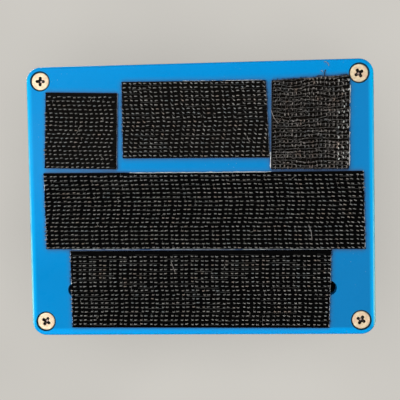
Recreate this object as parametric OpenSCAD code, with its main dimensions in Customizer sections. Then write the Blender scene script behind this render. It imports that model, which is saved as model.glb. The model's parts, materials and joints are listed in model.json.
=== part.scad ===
// Twin-channel effects pedal in a die-cast box. Pieces of hook tape under the base plate hold it
// on a pedalboard. It stands upright: X to the right, Y to the rear, Z up, hook tips at Z = 0.

/* [Box] */
// Length of the box along X
box_len = 119.5; // [116:0.5:130]
// Depth of the box along Y
box_dep = 94; // [92:0.5:106]
// Height of the box with its base plate
box_h = 34; // [33:0.5:44]
// Radius of the upright corners at the foot of the box
corner_r = 5; // [4.5:0.1:6]
// Draft of the cast walls in degrees
draft = 1.5; // [0.5:0.1:2]
// Thickness of the side walls
wall = 2.3; // [2:0.1:2.8]
// Thickness of the control face
face_t = 2.5; // [2:0.1:3]
// Rounding of the edge round the control face
face_round = 1.8; // [1:0.1:2]
// Rounding inside the box under the control face
inner_round = 0.8; // [0.5:0.1:1]
// Diameter of the corner bosses that take the base screws
boss_d = 8.4; // [8:0.1:9]

/* [Base plate] */
// Thickness of the base plate
plate_t = 3; // [2.5:0.1:4]
// Rounding of the lower edge of the base plate
plate_round = 1; // [0.5:0.1:1.2]
// Height of the rim that locates the plate in the box
rim_h = 2; // [1:0.1:2.5]
// Thickness of that rim
rim_t = 1.6; // [1:0.1:2]
// Clearance between the rim and the walls
rim_gap = 0.25; // [0.15:0.05:0.4]
// Diameter of the four foot holes
foot_hole_d = 5; // [4:0.1:6]
// Distance between the foot holes along X
foot_span_x = 88.2; // [80:0.1:92]
// Distance between the foot holes along Y
foot_span_y = 61.8; // [56:0.1:66]

/* [Base screws] */
// Distance of each screw from the two edges of its corner
screw_inset = 5; // [4.8:0.1:5.6]
// Diameter of the flat screw head
screw_head_d = 6.2; // [6:0.1:6.8]
// Diameter of the screw shank
screw_d = 3.5; // [3:0.1:3.6]
// Length of the screw with its head
screw_len = 12.7; // [10:0.1:16]
// Depth of the head below the face of the plate
screw_sink = 0.3; // [0.1:0.05:0.4]
// Span of the cross recess in the head
recess_span = 3.4; // [3:0.1:4]
// Depth of the cross recess
recess_deep = 1.3; // [1:0.1:1.6]

/* [Hook tape] */
// Width of the hook tape
tape_w = 26.2; // [25:0.1:26.4]
// Height of the tape from its back to the hook tips
tape_h = 1.9; // [1.5:0.1:2.5]
// Thickness of the adhesive under the tape
glue_t = 0.3; // [0.2:0.05:0.5]
// Length of the long piece across the middle
long_len = 110; // [104:0.5:112]
// Length of the lower piece along the rear edge
lower_len = 89.6; // [86:0.1:90]
// Length of the upper left piece
left_len = 25.1; // [23:0.1:26]
// Length of the upper middle piece
middle_len = 49.9; // [46:0.1:50]
// Length of the upper right piece, whose run lies along Y
right_len = 30.8; // [28:0.1:31]
// Centre of the long piece in front of or behind the middle of the plate
long_y = 3.85; // [3:0.05:4.5]
// Gap between the long and the lower piece
lower_gap = 0.5; // [0.45:0.05:1]
// Gap between the long and the upper left piece
left_gap = 1.7; // [1.4:0.1:3]
// Gap between the long and the upper middle piece
middle_gap = 5.1; // [3:0.1:6]
// Gap between the long and the upper right piece
right_gap = 1.05; // [0.8:0.05:1.3]

/* [Knobs and pots] */
// Number of knobs
knob_count = 4; // [4]
// Distance between knob centres
knob_pitch = 30; // [27:0.5:31]
// Distance from the rear edge of the box to the knobs
knob_back = 27; // [26:0.5:28]
// Diameter of the knob skirt
knob_d = 19.5; // [16:0.5:23]
// Height of a knob
knob_h = 14; // [12:0.5:17]
// Gap between a knob and the control face
knob_lift = 1.2; // [0.8:0.1:2]
// Number of flutes round a knob
knob_flutes = 14; // [10:1:18]
// Diameter of the pot shaft
shaft_d = 6; // [6:0.1:6.4]
// Diameter of the threaded pot bush
pot_bush_d = 7.4; // [7.3:0.1:8]
// Diameter of the pot can
pot_d = 16.5; // [16:0.1:18]
// Height of the pot under the control face
pot_h = 7.5; // [7.2:0.1:7.8]

/* [Footswitches] */
// Distance between the footswitches
switch_pitch = 66; // [60:0.5:68]
// Distance from the front edge of the box to the footswitches
switch_front = 21; // [19:0.5:22]
// Diameter of the threaded switch bush
switch_bush_d = 12; // [11.6:0.1:12.4]
// Height of the bush above the control face
switch_bush_h = 6.5; // [5:0.1:8]
// Diameter of the button
button_d = 9.8; // [9:0.1:11]
// Height of the button above its stem
button_h = 4; // [3:0.1:6]
// Diameter of the button stem
stem_d = 8; // [7:0.1:8.2]
// Travel of the button
travel = 2.5; // [1.5:0.1:2.6]

/* [Toggle switch] */
// Distance of the toggle switch and the lamps in front of the middle between footswitches and knobs
toggle_forward = 1; // [-1:0.5:2]
// Tilt of the toggle lever each way in degrees
toggle_tilt = 12.5; // [8:0.5:13]
// Length of the toggle lever above its pivot
lever_len = 14; // [12:0.5:17]

/* [Lamps] */
// Diameter of the indicator lamps
lamp_d = 5; // [4:0.1:5.2]

/* [Sockets] */
// Height of the jack sockets above the base plate
jack_up = 14; // [13.8:0.1:14.1]
// Bore of the jack sockets for a 6.35 mm plug
jack_bore_d = 6.5; // [6.4:0.05:6.6]
// Height of the power socket above the base plate
power_up = 10.3; // [10:0.1:10.5]
// Diameter of the centre pin of the power socket
power_pin_d = 2.1; // [2:0.1:2.5]

/* [Circuit board] */
// Length of the board
board_len = 98; // [94:0.5:99]
// Depth of the board
board_dep = 32.5; // [30:0.5:33]
// Thickness of the board
board_t = 1.6; // [1.2:0.1:1.8]
// Gap between the board and the pots
board_gap = 2; // [1.6:0.1:2.2]

/* [Hidden] */
$fn = 48;

// Clearances
run_gap = 0.05;     // radial gap of a part that turns or slides in another
fit_gap = 0.05;     // radial gap of a nut, washer or bush on what it is fitted to
hole_gap = 0.2;     // radial gap of a bush in its hole in the box
free_gap = 0.3;     // gap between parts that move past each other

// How far a cut runs past a face, how far joined shapes run into each other, and the thin
// overshoot of a countersink
past = 1;
bite = 0.5;
sliver = 0.01;

// Levels
plate_z = tape_h + glue_t;              // outer face of the base plate
shell_z = plate_z + plate_t;            // foot of the box
top_z = plate_z + box_h;                // control face
under_z = top_z - face_t;               // underside of the control face
shell_h = top_z - shell_z;
slope = tan(draft);

// Half length and half depth of the box at a height above its foot
function half_len(z) = box_len / 2 - (z - shell_z) * slope;
function half_dep(z) = box_dep / 2 - (z - shell_z) * slope;

// Places of the controls
knob_y = box_dep / 2 - knob_back;
function knob_x(i) = (i - (knob_count + 1) / 2) * knob_pitch;
switch_y = switch_front - box_dep / 2;
toggle_y = (switch_y + knob_y) / 2 - toggle_forward;
jack_z = shell_z + jack_up;
power_z = shell_z + power_up;

// ---------------------------------------------------------------- shared shapes

module tube(outer, inner, h) {
    difference() {
        cylinder(d = outer, h = h);
        translate([0, 0, -past]) cylinder(d = inner, h = h + 2 * past);
    }
}

// Hexagon with the given size across its flats
module hex_nut(flats, bore, h) {
    difference() {
        cylinder(d = flats / cos(30), h = h, $fn = 6);
        translate([0, 0, -past]) cylinder(d = bore, h = h + 2 * past);
    }
}

module block(size, at) {
    translate([at[0] - size[0] / 2, at[1] - size[1] / 2, at[2]]) cube(size);
}

// Half section of a cast block: w wide at the foot, with drafted side and rounded top edge
edge_steps = 8;
module half_section(w, h, rounding, lean) {
    mid_z = h - rounding;
    mid_x = w - mid_z * tan(lean) - rounding / cos(lean);
    polygon(concat(
        [[0, 0], [w, 0]],
        [for (k = [0:edge_steps]) let (a = lean + (90 - lean) * k / edge_steps)
            [mid_x + rounding * cos(a), mid_z + rounding * sin(a)]],
        [[0, h]]
    ));
}

module full_section(w, h, rounding, lean) {
    half_section(w, h, rounding, lean);
    mirror([1, 0]) half_section(w, h, rounding, lean);
}

// Block with upright rounded corners, drafted sides and a rounded top edge
module cast_block(len, dep, r, h, rounding, lean) {
    rotate([90, 0, 0])
        linear_extrude(dep - 2 * r, center = true) full_section(len / 2, h, rounding, lean);
    rotate([90, 0, 90])
        linear_extrude(len - 2 * r, center = true) full_section(dep / 2, h, rounding, lean);
    for (sx = [0, 1], sy = [0, 1])
        mirror([sx, 0, 0]) mirror([0, sy, 0])
            translate([len / 2 - r, dep / 2 - r, 0])
                rotate_extrude(angle = 90) half_section(r, h, rounding, lean);
}

// Round bar swept along a path: direction at each point, side vector carried along, then rings
function unit(v) = v / norm(v);
function path_dir(p, i) = unit(
    (i == 0 ? [0, 0, 0] : unit(p[i] - p[i - 1]))
    + (i == len(p) - 1 ? [0, 0, 0] : unit(p[i + 1] - p[i])));
function path_sides(p, i, side) = let (
        d = path_dir(p, i),
        s = unit(side - (side * d) * d)
    ) i == len(p) - 1 ? [s] : concat([s], path_sides(p, i + 1, s));

module sweep(path, r, sides, first_side) {
    n = len(path);
    side = path_sides(path, 0, first_side);
    points = [for (i = [0:n - 1]) let (up = cross(path_dir(path, i), side[i]))
        for (k = [0:sides - 1]) let (a = 360 * k / sides)
            path[i] + r * (cos(a) * side[i] + sin(a) * up)];
    faces = concat(
        [[for (k = [0:sides - 1]) k]],
        [[for (k = [sides - 1:-1:0]) (n - 1) * sides + k]],
        [for (i = [0:n - 2], k = [0:sides - 1]) let (
                a = i * sides + k,
                b = i * sides + (k + 1) % sides
            ) each [[a, a + sides, b], [b, a + sides, b + sides]]]
    );
    polyhedron(points, faces);
}

module at_corners(span_x, span_y) {
    for (sx = [-1, 1], sy = [-1, 1]) translate([sx * span_x / 2, sy * span_y / 2, 0]) children();
}

module at_switches() {
    for (side = [-1, 1]) translate([side * switch_pitch / 2, switch_y, 0]) children();
}

module at_pots() {
    for (i = [1:knob_count]) translate([knob_x(i), knob_y, 0]) children();
}

module at_lamps() {
    for (side = [-1, 1]) translate([side * switch_pitch / 2, toggle_y, 0]) children();
}

// Both jack sockets, with local Z pointing out of the box
module at_jacks() {
    for (side = [0, 1]) mirror([side, 0, 0])
        translate([0, jack_y, jack_z]) rotate([0, 90, 0]) children();
}

// ---------------------------------------------------------------- box

screw_span_x = box_len - 2 * screw_inset;
screw_span_y = box_dep - 2 * screw_inset;

// Sizes of the controls that the box is drilled for
pot_hole_d = pot_bush_d + 2 * hole_gap;
switch_hole_d = switch_bush_d + 2 * hole_gap;
toggle_bush_d = 6.35;
lamp_tube_t = 0.8;
lamp_tube_d = lamp_d + 2 * lamp_tube_t;
jack_bush_d = 9.5;
power_body_d = 11;

module enclosure_shell() color([0.0, 0.44, 0.80]) {
    difference() {
        union() {
            difference() {
                translate([0, 0, shell_z])
                    cast_block(box_len, box_dep, corner_r, shell_h, face_round, draft);
                translate([0, 0, shell_z - past])
                    cast_block(box_len - 2 * (wall - past * slope),
                        box_dep - 2 * (wall - past * slope), corner_r - wall + past * slope,
                        shell_h - face_t + past, inner_round, draft);
            }
            intersection() {
                translate([0, 0, shell_z])
                    at_corners(screw_span_x, screw_span_y)
                        cylinder(d = boss_d, h = shell_h - face_t / 2);
                translate([0, 0, shell_z])
                    cast_block(box_len - wall, box_dep - wall, corner_r - wall / 2,
                        shell_h - face_t / 2, inner_round, draft);
            }
        }
        at_corners(screw_span_x, screw_span_y)
            translate([0, 0, shell_z - past]) cylinder(d = screw_d + 2 * fit_gap, h = screw_len);
        translate([0, 0, under_z - past]) {
            at_pots() cylinder(d = pot_hole_d, h = face_t + 2 * past);
            at_switches() cylinder(d = switch_hole_d, h = face_t + 2 * past);
            at_lamps() cylinder(d = lamp_tube_d + 2 * hole_gap, h = face_t + 2 * past);
            translate([0, toggle_y, 0])
                cylinder(d = toggle_bush_d + 2 * hole_gap, h = face_t + 2 * past);
        }
        at_jacks() translate([0, 0, half_len(jack_z) - 2 * wall])
            cylinder(d = jack_bush_d + 2 * hole_gap, h = 4 * wall);
        translate([0, half_dep(power_z) - 2 * wall, power_z]) rotate([-90, 0, 0])
            cylinder(d = power_body_d + 2 * hole_gap, h = 4 * wall);
    }
}

head_h = (screw_head_d - screw_d) / 2;
sink_d = screw_head_d + 2 * screw_sink + 2 * fit_gap;
rim_inner_r = 0.6;

module base_plate() color([0.0, 0.48, 0.85]) {
    rim_len = box_len - 2 * (wall + rim_gap);
    rim_dep = box_dep - 2 * (wall + rim_gap);
    rim_r = corner_r - wall - rim_gap;
    difference() {
        union() {
            translate([0, 0, shell_z]) mirror([0, 0, 1])
                cast_block(box_len, box_dep, corner_r, plate_t, plate_round, 0);
            difference() {
                translate([0, 0, shell_z - bite])
                    linear_extrude(rim_h + bite) rounded_outline(rim_len, rim_dep, rim_r);
                translate([0, 0, shell_z - past]) linear_extrude(rim_h + 2 * past)
                    rounded_outline(rim_len - 2 * rim_t, rim_dep - 2 * rim_t, rim_inner_r);
                at_corners(screw_span_x, screw_span_y) translate([0, 0, shell_z])
                    cylinder(d = boss_d + 2 * free_gap, h = rim_h + past);
            }
        }
        at_corners(screw_span_x, screw_span_y) {
            translate([0, 0, plate_z - past])
                cylinder(d = screw_d + 4 * fit_gap, h = plate_t + rim_h + 2 * past);
            translate([0, 0, plate_z - sliver])
                cylinder(d1 = sink_d + 2 * sliver, d2 = 2 * sliver, h = sink_d / 2);
        }
        at_corners(foot_span_x, foot_span_y)
            translate([0, 0, plate_z - past]) cylinder(d = foot_hole_d, h = plate_t + 2 * past);
    }
}

module rounded_outline(len, dep, r) {
    square([len - 2 * r, dep], center = true);
    square([len, dep - 2 * r], center = true);
    for (sx = [-1, 1], sy = [-1, 1])
        translate([sx * (len / 2 - r), sy * (dep / 2 - r)]) circle(r);
}

// Turn of each cross recess, in the order front left, front right, rear left, rear right
recess_turns = [3, 60, 32, 28];
recess_arm_t = 0.9;
recess_mid_d = 2.16;
recess_tip_d = 0.72;
recess_tip_deep = 1.7;

module base_screw(turn) {
    difference() {
        union() {
            cylinder(d1 = screw_head_d, d2 = screw_d, h = head_h);
            cylinder(d = screw_d, h = screw_len);
        }
        for (quarter = [0, 90]) rotate(turn + quarter)
            block([recess_span, recess_arm_t, recess_deep + past], [0, 0, -past]);
        translate([0, 0, -sliver])
            cylinder(d1 = recess_mid_d, d2 = recess_tip_d, h = recess_tip_deep);
    }
}

module base_screws() color([0.80, 0.74, 0.60]) {
    for (sx = [0, 1], sy = [0, 1])
        translate([(sx - 0.5) * screw_span_x, (sy - 0.5) * screw_span_y, plate_z + screw_sink])
            base_screw(recess_turns[sx + 2 * sy]);
}

// ---------------------------------------------------------------- hook tape

// Where each piece lies along X, and its turn in degrees
long_x = 1.05;
lower_x = -0.5;
left_x = -40.6;
middle_x = -1.15;
right_x = 38.1;
long_turn = 0.6;
lower_turn = 0.3;
left_turn = 2;
middle_turn = 0.8;
right_turn = 1.1;

// Slant of the two cut ends of each piece in degrees
long_cuts = [1.3, -1.4];
lower_cuts = [0.8, 1.9];
left_cuts = [-0.2, -0.1];
middle_cuts = [0.5, -2.9];
right_cuts = [3.7, -0.3];

// The adhesive of the long piece lies a little forward and askew, so that its front edge shows
glue_forward = 0.15;
glue_askew = 0.1;

// Extra width of the lower piece, at its rear edge
lower_extra = 0.6;

// Line of the long piece's two edges, from which its neighbours are spaced
function long_edge(x, side) = long_y + (x - long_x) * tan(long_turn)
    + side * tape_w / 2 / cos(long_turn);

lower_y = long_edge(lower_x, 1) + lower_gap + (tape_w + lower_extra) / 2;
left_y = long_edge(left_x, -1) - left_gap - tape_w / 2;
middle_y = long_edge(middle_x, -1) - middle_gap - tape_w / 2;
right_y = long_edge(right_x, -1) - right_gap - right_len / 2;

// A cut piece of tape lying between two levels, with the slants of its cut ends
module tape_piece(at, turn, len, cuts, low, high, extra = 0) {
    half = (tape_w + extra) / 2;
    a = half * tan(cuts[0]);
    b = half * tan(cuts[1]);
    translate([at[0], at[1], low]) rotate(turn) linear_extrude(high - low) polygon([
        [-len / 2 - a, -half], [len / 2 + b, -half], [len / 2 - b, half], [-len / 2 + a, half]
    ]);
}

module long_piece(low, high, forward, askew)
    tape_piece([long_x, long_y - forward], long_turn - askew, long_len, long_cuts, low, high);

module lower_piece(low, high)
    tape_piece([lower_x, lower_y], lower_turn, lower_len, lower_cuts, low, high, lower_extra);

module left_piece(low, high)
    tape_piece([left_x, left_y], left_turn, left_len, left_cuts, low, high);

module middle_piece(low, high)
    tape_piece([middle_x, middle_y], middle_turn, middle_len, middle_cuts, low, high);

module right_piece(low, high)
    tape_piece([right_x, right_y], right_turn + 90, right_len, right_cuts, low, high);

module hook_tape_long() color([0.05, 0.05, 0.05]) long_piece(0, tape_h, 0, 0);
module hook_tape_lower() color([0.05, 0.05, 0.05]) lower_piece(0, tape_h);
module hook_tape_upper_left() color([0.05, 0.05, 0.05]) left_piece(0, tape_h);
module hook_tape_upper_middle() color([0.05, 0.05, 0.05]) middle_piece(0, tape_h);
module hook_tape_upper_right() color([0.07, 0.07, 0.07]) right_piece(0, tape_h);

module tape_adhesive() color([0.85, 0.92, 0.95]) {
    long_piece(tape_h, plate_z, glue_forward, glue_askew);
    lower_piece(tape_h, plate_z);
    left_piece(tape_h, plate_z);
    middle_piece(tape_h, plate_z);
    right_piece(tape_h, plate_z);
}

// ---------------------------------------------------------------- pots and knobs

pot_plate_t = 1.2;
wafer_t = 1.2;
can_t = 0.5;
pot_bush_h = 5.5;
pot_washer_d = 12;
pot_washer_t = 0.5;
pot_nut_flats = 10;
pot_nut_t = 2.2;
wafer_tab_w = 12;
wafer_reach = 11.6;
pot_floor_z = under_z - pot_h;
wafer_z = under_z - pot_plate_t - wafer_t;
board_z = pot_floor_z - board_gap - board_t;
board_top = board_z + board_t;
pin_back = 10.8;
pin_pitch = 5;
pin_w = 1;
pin_t = 0.6;
pin_tail = 1.2;
pin_margin = 1.3;
board_front_y = knob_y - pin_back - pin_margin;     // front edge of the circuit board

module pot_bushes() color([0.72, 0.72, 0.72]) {
    at_pots() difference() {
        union() {
            translate([0, 0, under_z - pot_plate_t]) cylinder(d = pot_d, h = pot_plate_t);
            translate([0, 0, under_z - bite])
                cylinder(d = pot_bush_d, h = face_t + pot_bush_h + bite);
        }
        translate([0, 0, under_z - pot_plate_t - past])
            cylinder(d = shaft_d + 2 * run_gap, h = face_t + pot_bush_h + pot_plate_t + 2 * past);
    }
}

module pot_cans() color([0.78, 0.78, 0.76]) {
    at_pots() translate([0, 0, pot_floor_z]) difference() {
        cylinder(d = pot_d, h = pot_h - pot_plate_t);
        translate([0, 0, can_t]) cylinder(d = pot_d - 2 * can_t, h = pot_h);
        block([wafer_tab_w + 2 * free_gap, pot_d, pot_h],
            [0, -pot_d / 2, pot_h - pot_plate_t - wafer_t - free_gap]);
    }
}

module pot_wafers() color([0.62, 0.42, 0.20]) {
    at_pots() translate([0, 0, wafer_z]) difference() {
        union() {
            cylinder(d = pot_d - 2 * can_t - 2 * fit_gap, h = wafer_t);
            block([wafer_tab_w, wafer_reach, wafer_t], [0, -wafer_reach / 2, 0]);
        }
        translate([0, 0, -past]) cylinder(d = shaft_d + 4 * free_gap, h = wafer_t + 2 * past);
    }
}

module pot_pins() color([0.80, 0.80, 0.80]) {
    at_pots() for (i = [-1:1])
        block([pin_w, pin_t, wafer_z - board_z + pin_tail],
            [i * pin_pitch, -pin_back, board_z - pin_tail]);
}

module pot_washers() color([0.82, 0.82, 0.82]) {
    at_pots() translate([0, 0, top_z])
        tube(pot_washer_d, pot_bush_d + 2 * fit_gap, pot_washer_t);
}

module pot_nuts() color([0.80, 0.80, 0.80]) {
    at_pots() translate([0, 0, top_z + pot_washer_t])
        hex_nut(pot_nut_flats, pot_bush_d + 2 * fit_gap, pot_nut_t);
}

// Depth of the flat on the shaft, and how far it runs down from the shaft's end
flat_deep = 1.4;
knob_z = top_z + knob_lift;
knob_top_t = 1.6;
shaft_end_gap = 0.2;
shaft_top = knob_z + knob_h - knob_top_t - shaft_end_gap;
bush_end_gap = 0.5;
socket_z = top_z + pot_bush_h + bush_end_gap;
rotor_d = 13;
rotor_t = 2.4;

// A shaft with a flat along its top stretch, for the shaft itself and for the knob's socket
module flat_shaft(d, low, high, flat_low) {
    difference() {
        translate([0, 0, low]) cylinder(d = d, h = high - low);
        translate([d / 2 - flat_deep, -d, flat_low]) cube([d, 2 * d, high - flat_low + past]);
    }
}

module pot_shaft(i) color([0.75, 0.75, 0.75]) {
    translate([knob_x(i), knob_y, 0]) {
        flat_shaft(shaft_d, wafer_z - free_gap - rotor_t, shaft_top, socket_z);
        translate([0, 0, wafer_z - free_gap - rotor_t]) cylinder(d = rotor_d, h = rotor_t);
    }
}

skirt_h = 3.2;
skirt_lip = 1.5;
knob_body_d = knob_d - 2 * skirt_lip;
knob_pocket_d = 13.4;
knob_edge = 0.8;
flute_d = 2.6;
flute_out = 0.7;
flute_up = 0.4;
groove_w = 1;

// A fluted knob with a pointer groove; the groove points to the rear
module knob(i) color([0.06, 0.06, 0.06]) {
    translate([knob_x(i), knob_y, knob_z]) difference() {
        rotate_extrude() polygon([
            [0, 0], [knob_d / 2 - knob_edge / 2, 0], [knob_d / 2, knob_edge / 2],
            [knob_d / 2, skirt_h - knob_edge], [knob_body_d / 2, skirt_h],
            [knob_body_d / 2, knob_h - knob_edge], [knob_body_d / 2 - knob_edge, knob_h],
            [0, knob_h]
        ]);
        for (k = [0:knob_flutes - 1]) rotate((k + 0.5) * 360 / knob_flutes)
            translate([knob_body_d / 2 + flute_out, 0, skirt_h + flute_up])
                cylinder(d = flute_d, h = knob_h);
        translate([0, 0, -past]) cylinder(d = knob_pocket_d, h = socket_z - knob_z + past);
        translate([0, 0, socket_z - knob_z - bite])
            difference() {
                cylinder(d = shaft_d + 2 * fit_gap, h = knob_z + knob_h - knob_top_t - socket_z + bite);
                translate([shaft_d / 2 + fit_gap - flat_deep, -shaft_d, -past])
                    cube([shaft_d, 2 * shaft_d, knob_h]);
            }
        block([groove_w, knob_d / 2, 2 * groove_w], [0, knob_d / 4, knob_h - groove_w / 2]);
    }
}

// ---------------------------------------------------------------- footswitches

switch_body = [17.2, 16.2, 11.5];
switch_plate_t = 1;
switch_washer_d = 17;
switch_washer_t = 0.4;
switch_nut_flats = 14;
switch_nut_t = 2.2;
switch_pad_d = 17.5;
switch_pad_t = 1;
thread_show = 0.8;
switch_drop = switch_washer_t + switch_nut_t + thread_show;
switch_plate_z = under_z - switch_drop - switch_plate_t;
switch_body_z = switch_plate_z - switch_body[2];
well_d = 12.5;
well_deep = 9.5;
well_z = switch_plate_z - well_deep;
collar_t = 1.2;
collar_lip = 1.2;
collar_z = switch_plate_z - free_gap - collar_t;
bush_top_z = top_z + switch_bush_h;
lug_size = [2.2, 0.7, 4.2];
lug_pitch_x = 5.3;
lug_pitch_y = 4.8;
spring_d = 7.2;
spring_wire_d = 0.8;
spring_turns = 5;
button_clear = 0.5;
button_z = bush_top_z + travel + button_clear;
dome_h = 1.2;

module footswitch_bushes() color([0.80, 0.80, 0.80]) {
    at_switches() difference() {
        union() {
            translate([0, 0, switch_plate_z])
                block([switch_body[0], switch_body[1], switch_plate_t], [0, 0, 0]);
            translate([0, 0, switch_plate_z + switch_plate_t / 2])
                cylinder(d = switch_bush_d, h = bush_top_z - switch_plate_z - switch_plate_t / 2);
        }
        translate([0, 0, switch_plate_z - past])
            cylinder(d = stem_d + 2 * run_gap, h = bush_top_z - switch_plate_z + 2 * past);
    }
}

module footswitch_housings() color([0.10, 0.25, 0.60]) {
    at_switches() difference() {
        block(switch_body, [0, 0, switch_body_z]);
        translate([0, 0, well_z]) cylinder(d = well_d, h = well_deep + past);
    }
}

module footswitch_lugs() color([0.85, 0.80, 0.60]) {
    at_switches() for (ix = [-1:1], iy = [-1:1])
        block(lug_size, [ix * lug_pitch_x, iy * lug_pitch_y, switch_body_z - lug_size[2]]);
}

module footswitch_inner_washers() color([0.75, 0.75, 0.75]) {
    at_switches() translate([0, 0, under_z - switch_washer_t])
        tube(switch_washer_d, switch_bush_d + 2 * fit_gap, switch_washer_t);
}

module footswitch_outer_washers() color([0.85, 0.85, 0.82]) {
    at_switches() translate([0, 0, top_z])
        tube(switch_pad_d, switch_bush_d + 2 * fit_gap, switch_pad_t);
}

module footswitch_nuts() color([0.82, 0.82, 0.82]) {
    at_switches() {
        translate([0, 0, top_z + switch_pad_t])
            hex_nut(switch_nut_flats, switch_bush_d + 2 * fit_gap, switch_nut_t);
        translate([0, 0, under_z - switch_washer_t - switch_nut_t])
            hex_nut(switch_nut_flats, switch_bush_d + 2 * fit_gap, switch_nut_t);
    }
}

module footswitch_button(side) color([0.84, 0.84, 0.84]) {
    dome_r = (pow(button_d / 2, 2) + pow(dome_h, 2)) / (2 * dome_h);
    translate([side * switch_pitch / 2, switch_y, 0]) {
        translate([0, 0, collar_z]) cylinder(d = stem_d + 2 * collar_lip, h = collar_t);
        translate([0, 0, collar_z]) cylinder(d = stem_d, h = button_z - collar_z + bite);
        translate([0, 0, button_z]) cylinder(d = button_d, h = button_h - dome_h);
        translate([0, 0, button_z + button_h - dome_h]) intersection() {
            translate([0, 0, dome_h - dome_r]) sphere(dome_r);
            cylinder(d = button_d, h = dome_h + past);
        }
    }
}

spring_sides = 8;
spring_rings = 60;

// Spring wire from a floor to a ceiling, as one helix
module footswitch_helix(low, high) {
    climb = high - low;
    sweep([for (i = [0:spring_rings]) let (
            t = i / spring_rings,
            a = 360 * spring_turns * t
        ) [spring_d / 2 * cos(a), spring_d / 2 * sin(a), low + climb * t]],
        spring_wire_d / 2, spring_sides, [1, 0, 0]);
}

module footswitch_spring(side) color([0.70, 0.70, 0.72]) {
    margin = spring_wire_d / 2 + fit_gap;
    translate([side * switch_pitch / 2, switch_y, 0])
        footswitch_helix(well_z + margin, collar_z - margin);
}

// ---------------------------------------------------------------- toggle switch

toggle_body = [13.2, 8, 9.5];
toggle_walls = [1.5, 1.2, 2];       // side walls along X and along Y, and floor
toggle_plate_t = 0.8;
toggle_washer_d = 11.5;
toggle_washer_t = 0.5;
toggle_nut_flats = 8;
toggle_nut_t = 2;
toggle_bush_h = 6;
toggle_plate_z = under_z - toggle_washer_t - toggle_plate_t;
toggle_body_z = toggle_plate_z - toggle_body[2];
toggle_bush_top = top_z + toggle_bush_h;
pivot_deep = 4.2;
pivot_z = toggle_bush_top - pivot_deep;
lever_neck_r = 1;
lever_tip_r = 1.5;
lever_foot_r = 0.9;
lever_foot = 8.5;
lever_gap = 0.42;
toggle_bore_d = 2 * (pivot_deep * tan(toggle_tilt) + lever_neck_r + lever_gap);
toggle_lug = [2, 0.8, 4];
toggle_lug_pitch = 4.7;

module toggle_bush() color([0.80, 0.80, 0.80]) {
    translate([0, toggle_y, 0]) difference() {
        union() {
            block([toggle_body[0], toggle_body[1], toggle_plate_t], [0, 0, toggle_plate_z]);
            translate([0, 0, toggle_plate_z + toggle_plate_t / 2])
                cylinder(d = toggle_bush_d,
                    h = toggle_bush_top - toggle_plate_z - toggle_plate_t / 2);
        }
        translate([0, 0, toggle_plate_z - past])
            cylinder(d = toggle_bore_d, h = toggle_bush_top - toggle_plate_z + 2 * past);
    }
}

module toggle_housing() color([0.62, 0.12, 0.10]) {
    translate([0, toggle_y, 0]) difference() {
        block(toggle_body, [0, 0, toggle_body_z]);
        block([toggle_body[0] - 2 * toggle_walls[0], toggle_body[1] - 2 * toggle_walls[1],
            toggle_body[2]], [0, 0, toggle_body_z + toggle_walls[2]]);
    }
}

module toggle_lugs() color([0.85, 0.80, 0.60]) {
    for (i = [-1:1])
        block(toggle_lug, [i * toggle_lug_pitch, toggle_y, toggle_body_z - toggle_lug[2]]);
}

module toggle_washers() color([0.78, 0.78, 0.78]) {
    for (low = [under_z - toggle_washer_t, top_z]) translate([0, toggle_y, low])
        tube(toggle_washer_d, toggle_bush_d + 2 * fit_gap, toggle_washer_t);
}

module toggle_nut() color([0.80, 0.80, 0.80]) {
    translate([0, toggle_y, top_z + toggle_washer_t])
        hex_nut(toggle_nut_flats, toggle_bush_d + 2 * fit_gap, toggle_nut_t);
}

// Bat lever on a pivot ball that turns in the bush
module toggle_lever() color([0.84, 0.84, 0.84]) {
    translate([0, toggle_y, pivot_z]) {
        sphere(d = toggle_bore_d - 2 * run_gap);
        cylinder(r1 = lever_neck_r, r2 = lever_tip_r, h = lever_len - lever_tip_r);
        translate([0, 0, lever_len - lever_tip_r]) sphere(lever_tip_r);
        translate([0, 0, -lever_foot]) cylinder(r = lever_foot_r, h = lever_foot);
    }
}

// ---------------------------------------------------------------- lamps

lamp_rim_lip = 0.8;
lamp_rim_d = lamp_tube_d + 2 * lamp_rim_lip;
lamp_rim_h = 1.8;
lamp_tube_h = 3;
lamp_z = under_z - lamp_tube_h;
lamp_foot_t = 1;
lamp_foot_lip = 0.4;
lamp_leg_len = 1.8;
lamp_leg_t = 0.6;
lamp_leg_pitch = 2.54;

module lamp_bezels() color([0.82, 0.82, 0.82]) {
    at_lamps() difference() {
        union() {
            translate([0, 0, lamp_z]) cylinder(d = lamp_tube_d, h = top_z - lamp_z + bite);
            translate([0, 0, top_z]) cylinder(d = lamp_rim_d, h = lamp_rim_h);
        }
        translate([0, 0, lamp_z - past])
            cylinder(d = lamp_d + 2 * fit_gap, h = top_z - lamp_z + lamp_rim_h + 2 * past);
    }
}

module lamp_lenses() color([0.75, 0.10, 0.08]) {
    at_lamps() {
        translate([0, 0, lamp_z - lamp_foot_t]) {
            cylinder(d = lamp_d + 2 * lamp_foot_lip, h = lamp_foot_t);
            cylinder(d = lamp_d, h = top_z + lamp_rim_h - lamp_z + lamp_foot_t);
        }
        translate([0, 0, top_z + lamp_rim_h]) sphere(d = lamp_d);
    }
}

module lamp_legs() color([0.80, 0.80, 0.80]) {
    at_lamps() for (side = [-1, 1])
        block([lamp_leg_t, lamp_leg_t, lamp_leg_len],
            [side * lamp_leg_pitch / 2, 0, lamp_z - lamp_foot_t - lamp_leg_len]);
}

// ---------------------------------------------------------------- jack sockets

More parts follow.
